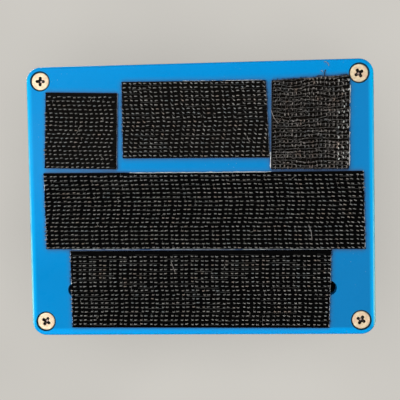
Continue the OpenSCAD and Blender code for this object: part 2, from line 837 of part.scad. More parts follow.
jack_body = [15, 15, 25.5];
jack_back_t = 1.5;
jack_lug_len = 4;
switch_rear_y = switch_y + switch_body[1] / 2;
jack_y = (switch_rear_y + board_front_y) / 2;       // midway between footswitches and board
jack_flange_d = 13;
jack_flange_t = 1.2;
jack_nose = 2.3;
jack_washer_d = 14;
jack_washer_t = 0.4;
jack_nut_flats = 12.7;
jack_nut_t = 1.5;
jack_wall_in = half_len(jack_z + jack_flange_d / 2) - wall;   // nearest inner wall
jack_front_x = jack_wall_in - jack_flange_t;                  // front of the housing
jack_end_x = jack_front_x - jack_body[2];
jack_seat_x = half_len(jack_z - jack_washer_d / 2);           // outermost wall under the washer
jack_mouth_x = jack_seat_x + jack_nose;
leaf = [0.4, 3, 14];
jack_bore_gap = 0.3;
leaf_down = jack_bore_d / 2 + jack_bore_gap + free_gap + 0.2;   // from the socket's axis to the leaf

module jack_bushes() color([0.80, 0.80, 0.80]) {
    at_jacks() difference() {
        union() {
            translate([0, 0, jack_front_x]) cylinder(d = jack_flange_d, h = jack_flange_t);
            translate([0, 0, jack_front_x + jack_flange_t / 2])
                cylinder(d = jack_bush_d, h = jack_mouth_x - jack_front_x - jack_flange_t / 2);
        }
        translate([0, 0, jack_front_x - past])
            cylinder(d = jack_bore_d, h = jack_mouth_x - jack_front_x + 2 * past);
    }
}

// Local X of the socket points down, so the contact slot is cut on the low side
module jack_housing() {
    translate([0, 0, jack_end_x]) difference() {
        block(jack_body, [0, 0, 0]);
        translate([0, 0, jack_back_t])
            cylinder(d = jack_bore_d + 2 * jack_bore_gap, h = jack_body[2]);
        translate([jack_bore_d / 2 - past, -leaf[1] / 2 - free_gap, -past])
            cube([leaf_down - jack_bore_d / 2 + past + leaf[0] + free_gap,
                leaf[1] + 2 * free_gap, leaf[2] + past + free_gap]);
    }
}

module input_jack_housing() color([0.10, 0.10, 0.10])
    translate([0, jack_y, jack_z]) rotate([0, 90, 0]) jack_housing();

module output_jack_housing() color([0.10, 0.10, 0.10])
    mirror([1, 0, 0]) translate([0, jack_y, jack_z]) rotate([0, 90, 0]) jack_housing();

// Tip contact leaf in its slot, with its solder lug behind the housing
module jack_contacts() color([0.85, 0.80, 0.62]) {
    at_jacks() translate([leaf_down, -leaf[1] / 2, jack_end_x - jack_lug_len])
        cube([leaf[0], leaf[1], leaf[2] + jack_lug_len]);
}

module jack_washers() color([0.80, 0.80, 0.80]) {
    at_jacks() translate([0, 0, jack_seat_x])
        tube(jack_washer_d, jack_bush_d + 2 * fit_gap, jack_washer_t);
}

module jack_nuts() color([0.82, 0.82, 0.82]) {
    at_jacks() translate([0, 0, jack_seat_x + jack_washer_t]) rotate(30)
        hex_nut(jack_nut_flats, jack_bush_d + 2 * fit_gap, jack_nut_t);
}

// ---------------------------------------------------------------- power socket

power_flange_d = 13.2;
power_flange_t = 1;
power_len = 14;
power_bore_d = 5.6;
power_bore_deep = 10;
power_root_step = 0.2;
power_root_d = power_pin_d - 2 * power_root_step;
power_pin_short = 1;
power_seat_y = half_dep(power_z - power_flange_d / 2);
power_mouth_y = power_seat_y + power_flange_t;
power_end_y = power_mouth_y - power_len - power_flange_t;
power_nut_t = 3;
power_nut_flats = 14;
power_nut_y = half_dep(power_z + power_nut_flats / 2) - wall - power_nut_t;
power_lug = [2.4, 4.4, 0.5];
power_lug_up = 2.6;

module along_power(y) {
    translate([0, y, power_z]) rotate([-90, 0, 0]) children();
}

module power_socket() color([0.08, 0.08, 0.08]) {
    difference() {
        union() {
            along_power(power_seat_y) cylinder(d = power_flange_d, h = power_flange_t);
            along_power(power_end_y)
                cylinder(d = power_body_d, h = power_seat_y - power_end_y + power_flange_t / 2);
        }
        along_power(power_mouth_y - power_bore_deep)
            cylinder(d = power_bore_d, h = power_bore_deep + past);
        along_power(power_end_y - past)
            cylinder(d = power_root_d + 2 * fit_gap, h = power_len + power_flange_t);
    }
}

// Thinner root in the body, full diameter in the bore, and a tip a little inside the mouth
module power_pin() color([0.85, 0.75, 0.45]) {
    along_power(power_end_y)
        cylinder(d = power_root_d, h = power_len + power_flange_t - power_bore_deep + bite);
    along_power(power_mouth_y - power_bore_deep)
        cylinder(d = power_pin_d, h = power_bore_deep - power_pin_short);
}

module power_nut() color([0.08, 0.08, 0.08])
    along_power(power_nut_y) hex_nut(power_nut_flats, power_body_d + 2 * fit_gap, power_nut_t);

module power_lugs() color([0.85, 0.80, 0.60]) {
    for (side = [-1, 1])
        translate([-power_lug[0] / 2, power_end_y - power_lug[1],
                power_z + side * power_lug_up - power_lug[2] / 2])
            cube(power_lug);
}

// ---------------------------------------------------------------- circuit board

board_mid_y = board_front_y + board_dep / 2;
chip = [6.4, 9.4, 3.3];
film = [7.2, 2.6, 6.5];
can_cap_d = 6.3;
can_cap_h = 11;
resistor_d = 2.3;
resistor_len = 6.3;
board_hole_d = 1.5;

// Places of the parts on the board: chips and film capacitors from the knobs' line, the parts
// under the board from its middle
chip_forward = 3;
film_back = 5;
film_pitch = 4;
can_cap_x = 18;
can_cap_pitch = 9;
can_cap_back = 7;
resistor_x = 10;
resistor_pitch = 6;
resistor_forward = 4;

module circuit_board() color([0.10, 0.40, 0.18]) {
    difference() {
        block([board_len, board_dep, board_t], [0, board_mid_y, board_z]);
        at_pots() for (i = [-1:1])
            translate([i * pin_pitch, -pin_back, board_z - past])
                cylinder(d = board_hole_d, h = board_t + 2 * past);
    }
}

// The columns between the pots, where tall parts have room
function gap_x(i) = (i - knob_count / 2) * knob_pitch;

module board_chips() color([0.08, 0.08, 0.08]) {
    for (i = [1:knob_count - 1]) block(chip, [gap_x(i), knob_y - chip_forward, board_top]);
}

module board_film_capacitors() color([0.75, 0.15, 0.12]) {
    for (i = [1:knob_count - 1], k = [0:2])
        block(film, [gap_x(i), knob_y + film_back + film_pitch * k, board_top]);
}

module board_can_capacitors() color([0.12, 0.14, 0.30]) {
    for (side = [-1, 1], k = [0:1])
        translate([side * (can_cap_x + can_cap_pitch * k), board_mid_y + can_cap_back,
                board_z - can_cap_h])
            cylinder(d = can_cap_d, h = can_cap_h);
}

module board_resistors() color([0.80, 0.70, 0.50]) {
    for (side = [-1, 1], k = [0:5])
        translate([side * (resistor_x + resistor_pitch * k), board_mid_y - resistor_forward,
                board_z - resistor_d / 2])
            rotate([-90, 0, 0]) cylinder(d = resistor_d, h = resistor_len, center = true);
}

// ---------------------------------------------------------------- hookup wires

wire_r = 0.5;
wire_gap = 0.05;
wire_low_up = 3.6;
wire_low_z = shell_z + wire_low_up;
pad_in = 3.5;           // solder pads behind the board's front edge
switch_pad_in = 4;      // middle pad of a footswitch, towards the middle from its centre
switch_pad_pitch = 3;
jack_wire_turn = 3;
power_wire_loop = 2.5;
power_wire_apart = 1;
toggle_wire_drop = 1.5;

wire_sides = 8;
wire_bend = 0.6;

// Route with each corner cut across, so that the wire bends in two steps
function eased(p) = concat([p[0]],
    [for (i = [1:len(p) - 2]) each [
        p[i] + wire_bend * unit(p[i - 1] - p[i]), p[i] + wire_bend * unit(p[i + 1] - p[i])]],
    [p[len(p) - 1]]);

module wire(points) sweep(eased(points), wire_r, wire_sides, [1, 0, 0]);

module hookup_wires() color([0.80, 0.75, 0.20]) {
    pad_y = board_front_y + pad_in;
    pad_z = board_z - wire_gap;
    lug_end_z = switch_body_z - lug_size[2] - wire_gap;
    rear_lug_y = switch_y + lug_pitch_y;
    for (side = [-1, 1]) {
        for (k = [-1:1]) {
            start_x = side * (switch_pitch / 2 - switch_pad_in) + switch_pad_pitch * k;
            end_x = side * switch_pitch / 2 + lug_pitch_x * k;
            wire([[start_x, pad_y, pad_z], [start_x, pad_y, wire_low_z],
                [end_x, rear_lug_y, wire_low_z], [end_x, rear_lug_y, lug_end_z]]);
        }
        lug_x = side * (jack_end_x - jack_lug_len - wire_gap);
        lug_z = jack_z - leaf_down - leaf[0] / 2;
        turn_x = lug_x - side * jack_wire_turn;
        wire([[turn_x, pad_y, pad_z], [turn_x, pad_y, lug_z], [turn_x, jack_y, lug_z],
            [lug_x, jack_y, lug_z]]);
        for (leg = [-1, 1]) {
            leg_x = side * switch_pitch / 2 + leg * lamp_leg_pitch / 2;
            leg_z = lamp_z - lamp_foot_t - lamp_leg_len - wire_r - wire_gap;
            wire([[leg_x, toggle_y, leg_z], [leg_x, pad_y, leg_z],
                [leg_x, pad_y, board_top + wire_gap]]);
        }
        power_lug_z = power_z + side * power_lug_up;
        power_lug_y = power_end_y - power_lug[1] - wire_gap;
        power_y = power_lug_y - power_wire_loop + side * power_wire_apart;
        wire([[0, power_lug_y, power_lug_z], [0, power_y, power_lug_z], [0, power_y, pad_z]]);
    }
    for (k = [-1:1]) {
        toggle_x = k * toggle_lug_pitch;
        toggle_low = toggle_body_z - toggle_lug[2] - wire_gap;
        toggle_turn = toggle_low - toggle_wire_drop;
        wire([[toggle_x, toggle_y, toggle_low], [toggle_x, toggle_y, toggle_turn],
            [toggle_x, pad_y, toggle_turn], [toggle_x, pad_y, pad_z]]);
    }
}

// ---------------------------------------------------------------- nodes

enclosure_shell();
base_plate();
base_screws();
tape_adhesive();
hook_tape_long();
hook_tape_lower();
hook_tape_upper_left();
hook_tape_upper_middle();
hook_tape_upper_right();
pot_bushes();
pot_cans();
pot_wafers();
pot_pins();
pot_washers();
pot_nuts();
pot_shaft(1);  // pot_shaft_1
pot_shaft(2);  // pot_shaft_2
pot_shaft(3);  // pot_shaft_3
pot_shaft(4);  // pot_shaft_4
knob(1);  // knob_1
knob(2);  // knob_2
knob(3);  // knob_3
knob(4);  // knob_4
footswitch_bushes();
footswitch_housings();
footswitch_lugs();
footswitch_inner_washers();
footswitch_outer_washers();
footswitch_nuts();
footswitch_spring(-1);  // footswitch_spring_left
footswitch_spring(1);  // footswitch_spring_right
footswitch_button(-1);  // footswitch_button_left
footswitch_button(1);  // footswitch_button_right
toggle_bush();
toggle_housing();
toggle_lugs();
toggle_washers();
toggle_nut();
toggle_lever();
lamp_bezels();
lamp_lenses();
lamp_legs();
jack_bushes();
input_jack_housing();
output_jack_housing();
jack_contacts();
jack_washers();
jack_nuts();
power_socket();
power_pin();
power_nut();
power_lugs();
circuit_board();
board_chips();
board_film_capacitors();
board_can_capacitors();
board_resistors();
hookup_wires();
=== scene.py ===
"""Effects pedal with hook tape under its base: the looks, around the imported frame.

The pedal stands upright on the tips of its hook tape, as it does on a pedalboard. The camera looks
up at its underside. The object is built in millimetres, and MM turns them into the scene's metres.
The stage (floor, backdrop and lamps) is given in metres.
"""
import json
import math
import random

import bpy
from mathutils import Matrix, Vector, noise


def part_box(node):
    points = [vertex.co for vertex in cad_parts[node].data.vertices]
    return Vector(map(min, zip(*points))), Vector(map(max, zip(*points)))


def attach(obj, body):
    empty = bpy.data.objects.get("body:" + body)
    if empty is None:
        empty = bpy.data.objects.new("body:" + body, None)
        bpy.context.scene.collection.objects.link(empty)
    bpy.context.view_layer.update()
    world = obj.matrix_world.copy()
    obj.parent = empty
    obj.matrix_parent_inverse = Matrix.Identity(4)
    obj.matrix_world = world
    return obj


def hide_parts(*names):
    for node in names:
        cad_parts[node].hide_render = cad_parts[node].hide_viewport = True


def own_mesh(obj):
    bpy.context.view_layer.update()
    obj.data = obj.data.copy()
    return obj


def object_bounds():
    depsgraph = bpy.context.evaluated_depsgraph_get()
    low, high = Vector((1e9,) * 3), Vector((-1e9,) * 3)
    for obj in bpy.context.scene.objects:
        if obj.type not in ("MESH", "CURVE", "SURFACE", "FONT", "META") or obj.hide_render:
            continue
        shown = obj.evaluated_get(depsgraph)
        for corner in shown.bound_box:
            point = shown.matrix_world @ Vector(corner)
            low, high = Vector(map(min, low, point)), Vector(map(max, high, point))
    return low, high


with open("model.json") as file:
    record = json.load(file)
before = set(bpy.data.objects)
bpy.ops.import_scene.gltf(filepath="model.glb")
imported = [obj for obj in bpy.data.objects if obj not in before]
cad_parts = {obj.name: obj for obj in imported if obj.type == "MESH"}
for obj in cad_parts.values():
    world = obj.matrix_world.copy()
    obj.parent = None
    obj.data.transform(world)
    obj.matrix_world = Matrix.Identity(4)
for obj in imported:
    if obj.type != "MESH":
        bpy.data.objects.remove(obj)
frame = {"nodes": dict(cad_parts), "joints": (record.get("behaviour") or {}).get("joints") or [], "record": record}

MM = 0.001
X, Y, Z = range(3)
BODY = "enclosure"
CAD_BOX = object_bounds()
NODES = frame["nodes"]

# ------------------------------ camera

CAMERA_AT = Vector((11.8, -6.5, -204.1)) * MM
CAMERA_LOOK = Vector((-0.0559, 0.0319, 0.9979))
CAMERA_UP = Vector((0.0155, -0.9993, 0.0328))


def put_in_scene(name, data):
    obj = bpy.data.objects.new(name, data)
    bpy.context.scene.collection.objects.link(obj)
    return obj


def make_camera():
    data = bpy.data.cameras.new("camera")
    data.sensor_width = 36
    data.lens = 54
    data.clip_start = 0.01
    data.clip_end = 20
    camera = put_in_scene("camera", data)
    back = -CAMERA_LOOK.normalized()
    right = CAMERA_UP.cross(back).normalized()
    turn = Matrix((right, back.cross(right), back)).transposed()
    camera.matrix_world = Matrix.Translation(CAMERA_AT) @ turn.to_4x4()
    bpy.context.scene.camera = camera


make_camera()

# ------------------------------ materials


class Nodes:
    """A node tree being put together."""

    def __init__(self, tree):
        self.tree = tree

    def add(self, kind, inputs=None, **settings):
        node = self.tree.nodes.new(kind)
        for key, value in settings.items():
            setattr(node, key, value)
        for key, value in (inputs or {}).items():
            self.put(node.inputs[key], value)
        return node

    def put(self, socket, value):
        """Links the value if it is another node's socket, and sets it as a constant if not."""
        if isinstance(value, bpy.types.NodeSocket):
            self.tree.links.new(value, socket)
        else:
            socket.default_value = value

    def math(self, operation, a, b=0.0):
        return self.add("ShaderNodeMath", {0: a, 1: b}, operation=operation).outputs[0]

    def times(self, a, b):
        return self.math("MULTIPLY", a, b)


class Surface(Nodes):
    """A material over object coordinates. Sizes are in millimetres, colours in linear RGB."""

    def __init__(self, name, **values):
        self.material = bpy.data.materials.new(name)
        self.material.use_nodes = True
        super().__init__(self.material.node_tree)
        self.shader = self.tree.nodes["Principled BSDF"]
        self.coords = self.add("ShaderNodeTexCoord").outputs["Object"]
        for key, value in values.items():
            self.set(key.replace("_", " "), value)

    def set(self, name, value):
        self.put(self.shader.inputs[name], value)

    def noise(self, size, detail=2.0, rough=0.5, stretch=(1, 1, 1)):
        """Noise whose features are about size across."""
        mapping = self.add("ShaderNodeMapping", {"Vector": self.coords, "Scale": stretch})
        node = self.add("ShaderNodeTexNoise", {"Vector": mapping.outputs[0], "Scale": 1 / (size * MM),
                                               "Detail": detail, "Roughness": rough})
        return node.outputs["Fac"]

    def specks(self, size, share):
        """1 in small scattered specks, 0 elsewhere."""
        node = self.add("ShaderNodeTexVoronoi", {"Vector": self.coords, "Scale": 1 / (size * MM)})
        return self.span(node.outputs["Distance"], share, share * 0.6)

    def span(self, value, low, high, to_low=0, to_high=1):
        """value between low and high becomes to_low to to_high, and stays there outside."""
        node = self.add("ShaderNodeMapRange", {
            "Value": value, "From Min": low, "From Max": high, "To Min": to_low, "To Max": to_high})
        return node.outputs["Result"]

    def zone(self, length, low, high, to_low=0, to_high=1):
        """The same for a length of the scene, between low and high in millimetres."""
        return self.span(length, low * MM, high * MM, to_low, to_high)

    def blend(self, share, one, other):
        """one where share is 0, other where it is 1."""
        node = self.add("ShaderNodeMix", data_type="RGBA")
        self.put(node.inputs[0], share)
        for socket, colour in ((node.inputs[6], one), (node.inputs[7], other)):
            self.put(socket, colour if isinstance(colour, bpy.types.NodeSocket) else (*colour, 1))
        return node.outputs[2]

    def bump(self, height, depth, strength, under=None):
        """Bumps of that depth, over a normal if one is given."""
        inputs = {"Height": height, "Distance": depth * MM, "Strength": strength}
        if under is not None:
            inputs["Normal"] = under
        return self.add("ShaderNodeBump", inputs).outputs[0]

    def finish(self, colour, gloss, bumps):
        """The material with its colour, its roughness (a noise, lowest, highest) and its bumps."""
        self.set("Base Color", colour)
        if gloss:
            pattern, low, high = gloss
            self.set("Roughness", self.span(pattern, 0.3, 0.7, low, high))
        self.set("Normal", self.bump(*bumps))
        return self.material

    def place(self):
        """x, y and z of the point."""
        return self.add("ShaderNodeSeparateXYZ", {"Vector": self.coords}).outputs

    def open_sky(self, reach, samples):
        """1 in the open, less where something stands within reach."""
        node = self.add("ShaderNodeAmbientOcclusion", {"Distance": reach * MM}, samples=samples)
        return node.outputs["AO"]

    def rounded(self, radius):
        """Normal with the sharp edges rounded off."""
        return self.add("ShaderNodeBevel", {"Radius": radius * MM}, samples=6).outputs[0]

    def edges(self, radius):
        """1 on sharp outer edges and corners, 0 on flat ground."""
        true = self.add("ShaderNodeNewGeometry").outputs["Normal"]
        dot = self.add("ShaderNodeVectorMath", {0: self.rounded(radius), 1: true},
                       operation="DOT_PRODUCT").outputs["Value"]
        return self.span(dot, 0.995, 0.8)

    def see_through(self, shader, clear):
        """The shader shows where clear is 0, and nothing where it is 1."""
        glass = self.add("ShaderNodeBsdfTransparent")
        mix = self.add("ShaderNodeMixShader", {0: clear, 1: shader, 2: glass.outputs[0]})
        self.put(self.tree.nodes["Material Output"].inputs["Surface"], mix.outputs[0])


def tint(colour, *factors):
    """The colour times one factor, or times one for each of red, green and blue."""
    return tuple(min(c * f, 1) for c, f in zip(colour, factors * 3))


SEAM_Z = 5.2                # where the box stands on its base plate
PLATE_Z = 2.2               # the plate's underside
SCREW_AT = (54.75, 42)      # how far the screws' middles lie out along X and Y
SINK_R = 3.42               # radius of a countersink


def from_screw(s):
    """How far the point is from the nearest screw's middle."""
    squares = [s.math("POWER", s.math("SUBTRACT", s.math("ABSOLUTE", c), at * MM), 2)
               for c, at in zip(s.place(), SCREW_AT)]
    return s.math("SQRT", s.math("ADD", *squares))


def countersink_shade(s):
    """Painted shade on the countersinks round the screw heads: 1 there, 0 elsewhere."""
    ring = s.zone(from_screw(s), SINK_R, SINK_R + 0.14, 1, 0)
    return s.times(ring, s.math("LESS_THAN", s.place()[2], (SEAM_Z - 0.2) * MM))


def painted_side_highlights(s, body):
    """Painted light: towards the left and right edges of the underside the coat is painted brighter, and its
    rounded rim carries a painted highlight, whiter to the rear.
    """
    x, y, z = s.place()
    out = s.math("ABSOLUTE", x)
    low = s.zone(z, PLATE_Z + 0.4, PLATE_Z + 0.65, 1, 0)
    body = s.blend(s.times(s.zone(out, 57.5, 58.6), low), body, (0.0, 0.45, 0.95))
    streaks = s.span(s.noise(2.6, 4, 0.6, (1, 0.4, 1)), 0.32, 0.5, 0.55, 1)
    rim = s.times(s.zone(out, 58.8, 59.15), low)
    shine = s.blend(s.zone(y, -38, 30), (0.0, 0.58, 1.0), (0.34, 0.93, 1.0))
    return s.blend(s.times(rim, streaks), body, shine)


def gap_dust_and_shade(s):
    """Dust and painted shade in the narrow gaps between the pieces of tape, found by occlusion: 1 where a gap is
    most enclosed.
    """
    below = s.math("LESS_THAN", s.place()[2], (PLATE_Z + 0.2) * MM)
    return s.times(s.span(s.open_sky(2, samples=6), 0.94, 0.48), below)


def seam_line(s):
    """The fine gap between the box and its base plate."""
    off = s.math("ABSOLUTE", s.math("SUBTRACT", s.place()[2], SEAM_Z * MM))
    return s.zone(off, 0.10, 0.20, 1, 0)


def painted_plate_light(s, colour):
    """Painted light and shade on the plate: brighter to the left, dimmer and a little greyer to the right, darker
    towards the rear, with brighter painted bands along the front edge on the right and along the rear edge.
    """
    x, y, _ = s.place()
    inner = s.zone(y, 10, 26)
    red, green, blue = tint(colour, 0.82)
    dimmed = (red + 0.010, green, blue)
    left = s.blend(inner, tint(colour, 1.03), tint(colour, 0.88))
    right = s.blend(inner, dimmed, tint(dimmed, 0.88))
    right = s.blend(s.zone(y, -40, -43), right, tint(colour, 1.10))
    return s.blend(s.zone(y, 44.2, 45.0), s.blend(s.zone(x, -52, 50), left, right),
                   tint(colour, 1.45))


def plate_dust_and_painted_light(s, body):
    """Dust and painted shade in the gaps, painted highlights to the sides, and painted shade on the countersinks
    and on the lower part of the plate's sides.
    """
    # dust and painted shade in the gaps between the pieces of tape
    body = s.blend(gap_dust_and_shade(s), body, (0.075, 0.125, 0.245))
    body = painted_side_highlights(s, body)
    # painted shade in the countersinks round the screw heads
    body = s.blend(countersink_shade(s), body, (0.006, 0.032, 0.055))
    z = s.place()[2]
    # painted shade on the lower part of the plate's sides, near the floor
    foot = s.times(s.zone(z, PLATE_Z + 0.4, PLATE_Z + 0.65, 0, 0.7), s.zone(z, 3.3, 4.4, 1, 0))
    return s.blend(foot, body, (0.0, 0.04, 0.11))


def powder_coat(name, colour, plate=False):
    """Glossy blue powder coat: orange peel, a little dust, and a painted highlight in patches on its edges; on the
    plate also painted light and shade.
    """
    gloss = 0.04 if plate else 0.2
    s = Surface(name, Specular_IOR_Level=gloss, Coat_Weight=gloss / 4, Coat_Roughness=0.08)
    grain = s.noise(0.35)
    body = s.blend(s.span(s.noise(22, 3), 0.35, 0.65), tint(colour, 0.94), tint(colour, 1.05))
    if plate:
        # painted light and shade across the plate
        body = s.blend(0.8, body, painted_plate_light(s, colour))
    body = s.blend(s.span(grain, 0.3, 0.7, 0, 0.25), body, tint(colour, 0.86))
    dust = s.times(s.specks(1.6, 0.1), s.span(s.noise(9), 0.5, 0.62, 0, 0.35))
    body = s.blend(dust, body, (0.40, 0.58, 0.70))
    # painted highlight, in patches, on the sharp edges
    painted_sheen = s.times(s.edges(0.35), s.span(s.noise(3, 4), 0.45, 0.6, 0, 0.5))
    body = s.blend(painted_sheen, body, (0.16, 0.50, 0.80))
    body = s.blend(seam_line(s), body, (0.004, 0.012, 0.03))
    peel = s.bump(s.noise(1.3, 1), 0.035, 0.6, s.rounded(0.25))
    return s.finish(plate_dust_and_painted_light(s, body) if plate else body, (s.noise(5, 4), 0.24, 0.38),
                    (grain, 0.006, 0.5, peel))


def hook_nylon(name, colour, spread):
    """Black nylon thread: shiny, with a painted highlight that makes the crowns of the hooks pale, in patches.
    spread is how much brighter the brightest patches are."""
    s = Surface(name)
    # the pale colour of the painted highlight, in patches of tone
    painted_sheen = s.blend(s.span(s.noise(6, 3), 0.35, 0.65), tint(colour, 0.8), tint(colour, spread))
    painted_sheen = s.blend(s.span(s.noise(0.8, 1), 0.40, 0.66, 0, 0.6), painted_sheen, tint(colour, 0.4))
    tone = s.noise(4)
    painted_sheen = s.blend(s.span(tone, 0.56, 0.68, 0, 0.6), painted_sheen, tint(colour, 1.3, 0.98, 0.8))
    painted_sheen = s.blend(s.span(tone, 0.44, 0.32, 0, 0.6), painted_sheen, tint(colour, 0.82, 1.0, 1.12))
    # painted highlight on the crowns near the tips; the legs keep the nylon's black
    lit_crown = s.zone(s.place()[2], 0.28, 0.80, 1, 0)
    return s.finish(s.blend(lit_crown, (0.0012, 0.0012, 0.0012), painted_sheen), (s.noise(1.1), 0.34, 0.55),
                    (s.noise(0.12), 0.01, 0.6))


def woven_back(name, colour):
    """The woven ground between the hooks: dull black yarn with lint in it."""
    s = Surface(name, Specular_IOR_Level=0.04)
    lint = s.times(s.specks(0.7, 0.12), s.span(s.noise(6), 0.5, 0.6, 0, 0.3))
    body = s.blend(s.noise(0.5, 3), tint(colour, 0.5), tint(colour, 1.5))
    return s.finish(s.blend(lint, body, (0.03, 0.027, 0.025)), (s.noise(2), 0.7, 0.95),
                    (s.noise(0.25, 3), 0.05, 0.8))


def metal(name, colour, rough):
    """Plated or bare metal: fine grain, smudges and brighter edges."""
    s = Surface(name, Metallic=1.0)
    smudge = s.noise(3.5, 4)
    fine = s.noise(0.22, 3, 0.6)
    body = s.blend(s.span(smudge, 0.35, 0.7), colour, tint(colour, 0.84))
    body = s.blend(s.span(fine, 0.55, 0.75, 0, 0.35), body, tint(colour, 0.7))
    s.set("Roughness", s.math("ADD", s.span(smudge, 0.3, 0.7, rough * 0.75, rough * 1.35),
                              s.span(fine, 0.4, 0.7, 0, 0.06)))
    return s.finish(s.blend(s.times(s.edges(0.2), 0.25), body, tint(colour, 1.2)), None,
                    (fine, 0.008, 0.5, s.rounded(0.12)))


def screw_metal(name):
    """Warm nickel plate on the screw heads, in uneven patches, with painted shade deep in the recess and a painted
    highlight at its middle.
    """
    s = Surface(name, Metallic=0.15, Specular_IOR_Level=0.4)
    smudge = s.noise(1.1, 4)
    body = s.blend(s.span(s.noise(1.4, 3), 0.42, 0.60), NICKEL, PINKISH)
    body = s.blend(s.span(smudge, 0.4, 0.66, 0, 0.5), body, tint(NICKEL, 0.8))
    # painted shade deep in the cross recess
    recess_shade = s.zone(s.place()[2], PLATE_Z + 0.33, PLATE_Z + 0.46)
    body = s.blend(s.math("ADD", recess_shade, s.span(smudge, 0.3, 0.7, -0.1, 0.1)), body,
                   (0.010, 0.004, 0.002))
    # painted highlight at the middle of the recess
    middle = s.zone(from_screw(s), 0.26, 0.44, 0.8, 0)
    return s.finish(s.blend(middle, body, (0.75, 0.55, 0.48)), (smudge, 0.3, 0.5),
                    (s.noise(0.25, 3), 0.01, 0.5, s.rounded(0.05)))


def plastic(name, colour, rough, grain=0.3, coat=0.0):
    """Moulded plastic or paint: fine grain, cloudy gloss, edges scuffed paler."""
    s = Surface(name, Coat_Weight=coat, Coat_Roughness=0.15)
    body = s.blend(s.span(s.noise(6, 3), 0.35, 0.65), tint(colour, 0.85), tint(colour, 1.12))
    scuffed = s.times(s.edges(0.2), s.span(s.noise(1.5, 3), 0.4, 0.65, 0, 0.35))
    return s.finish(s.blend(scuffed, body, tuple(0.7 * c + 0.3 * 0.35 for c in colour)),
                    (s.noise(1.8, 4), rough * 0.8, min(rough * 1.25, 1)),
                    (s.noise(grain), 0.012, 0.5, s.rounded(0.15)))


def clear_red(name):
    """Tinted lamp lens."""
    s = Surface(name, Roughness=0.08, Transmission_Weight=0.75, IOR=1.49, Coat_Weight=0.5)
    return s.finish(s.blend(s.noise(1.2), (0.62, 0.012, 0.01), (0.85, 0.03, 0.02)), None,
                    (s.noise(0.8), 0.01, 0.4))


def milky(name):
    """The adhesive sheet's edge: white, cloudy, with dirt caught on it."""
    s = Surface(name)
    dirt = s.span(s.noise(1.1, 4), 0.5, 0.72, 0, 0.6)
    return s.finish(s.blend(dirt, (0.80, 0.86, 0.88), (0.34, 0.38, 0.40)),
                    (s.noise(0.6), 0.35, 0.65), (s.noise(0.3, 3), 0.04, 0.7))


def board_lacquer(name):
    """Green solder mask over faint copper tracks."""
    s = Surface(name, Roughness=0.3, Coat_Weight=0.4)
    tracks = s.add("ShaderNodeTexBrick", {"Vector": s.coords, "Scale": 220.0, "Mortar Size": 0.03,
                                          "Brick Width": 0.9}).outputs["Fac"]
    body = s.blend(tracks, (0.01, 0.13, 0.035), (0.03, 0.24, 0.07))
    return s.finish(s.blend(s.span(s.noise(8), 0.3, 0.7, 0, 0.4), body, (0.01, 0.10, 0.03)), None,
                    (tracks, 0.03, 0.4))


NICKEL = (1.0, 0.83, 0.55)
PINKISH = (0.95, 0.66, 0.46)
BLUE = (0.0, 0.285, 0.71)

METALS = {          # colour, roughness
    "bright_steel": ((0.78, 0.78, 0.78), 0.17),
    "plain_steel": ((0.60, 0.60, 0.59), 0.36),
    "tin": ((0.72, 0.72, 0.70), 0.4),
    "brass_pin": ((0.80, 0.62, 0.30), 0.25),
}
PLASTICS = {        # colour, roughness, and for the knobs the size of the grain and a coat
    "nylon": ((0.70, 0.68, 0.62), 0.45),
    "knob_black": ((0.014, 0.014, 0.015), 0.34, 0.25, 0.2),
    "black_plastic": ((0.018, 0.018, 0.019), 0.42),
    "blue_plastic": ((0.01, 0.06, 0.32), 0.4),
    "red_plastic": ((0.42, 0.02, 0.015), 0.4),
    "wafer_brown": ((0.30, 0.14, 0.05), 0.6),
    "wire_yellow": ((0.62, 0.50, 0.05), 0.5),
    "resistor_tan": ((0.55, 0.40, 0.22), 0.5),
}
MATERIALS = {
    "box_paint": powder_coat("box_paint", BLUE),
    "plate_paint": powder_coat("plate_paint", BLUE, plate=True),
    "hook_tape": hook_nylon("hook_tape", (0.275, 0.270, 0.258), 1.35),
    "hook_tape_fuzzy": hook_nylon("hook_tape_fuzzy", (0.226, 0.208, 0.194), 1.6),
    "adhesive": milky("adhesive"),
    "screw_nickel": screw_metal("screw_nickel"),
    "red_lens": clear_red("red_lens"),
    "board_green": board_lacquer("board_green"),
    **{name: metal(name, *look) for name, look in METALS.items()},
    **{name: plastic(name, *look) for name, look in PLASTICS.items()},
}
BACKING = woven_back("woven_back", (0.0014, 0.0014, 0.0015))
BACKING_DUSTY = woven_back("woven_back_dusty", (0.0050, 0.0044, 0.0040))
BACKING_FUZZY = woven_back("woven_back_fuzzy", (0.0062, 0.0050, 0.0042))
# pale nylon that paints glints on some hooks
GLINT_NYLON = hook_nylon("hook_tape_glints", (0.60, 0.62, 0.60), 1.4)
POINTER_WHITE = plastic("pointer_white", (0.80, 0.80, 0.77), 0.45)
LINT = plastic("lint", (0.52, 0.50, 0.45), 0.7)
PALE_HAIR = plastic("pale_hair", (0.42, 0.38, 0.36), 0.6)
DARK_THREAD = plastic("dark_thread", (0.012, 0.012, 0.012), 0.6)


def paint_cad_nodes():
    """Each CAD node takes the finish of its slot in the record."""
    for part in frame["record"]["subparts"]:
        finishes = NODES[part["node"]].data.materials
        finishes.clear()
        finishes.append(MATERIALS[part["material_slot"]])


paint_cad_nodes()

# ------------------------------ mesh tools


def smooth_shade(mesh, degrees=28):
    """Smooth shading, with edges over that angle left sharp."""
    sides = {}
    for polygon in mesh.polygons:
        polygon.use_smooth = True
        for key in polygon.edge_keys:
            sides.setdefault(key, []).append(polygon.normal.copy())
    for edge in mesh.edges:
        two = sides.get(tuple(sorted(edge.vertices)), ())
        if len(two) == 2 and two[0].angle(two[1], 0) > math.radians(degrees):
            edge.use_edge_sharp = True


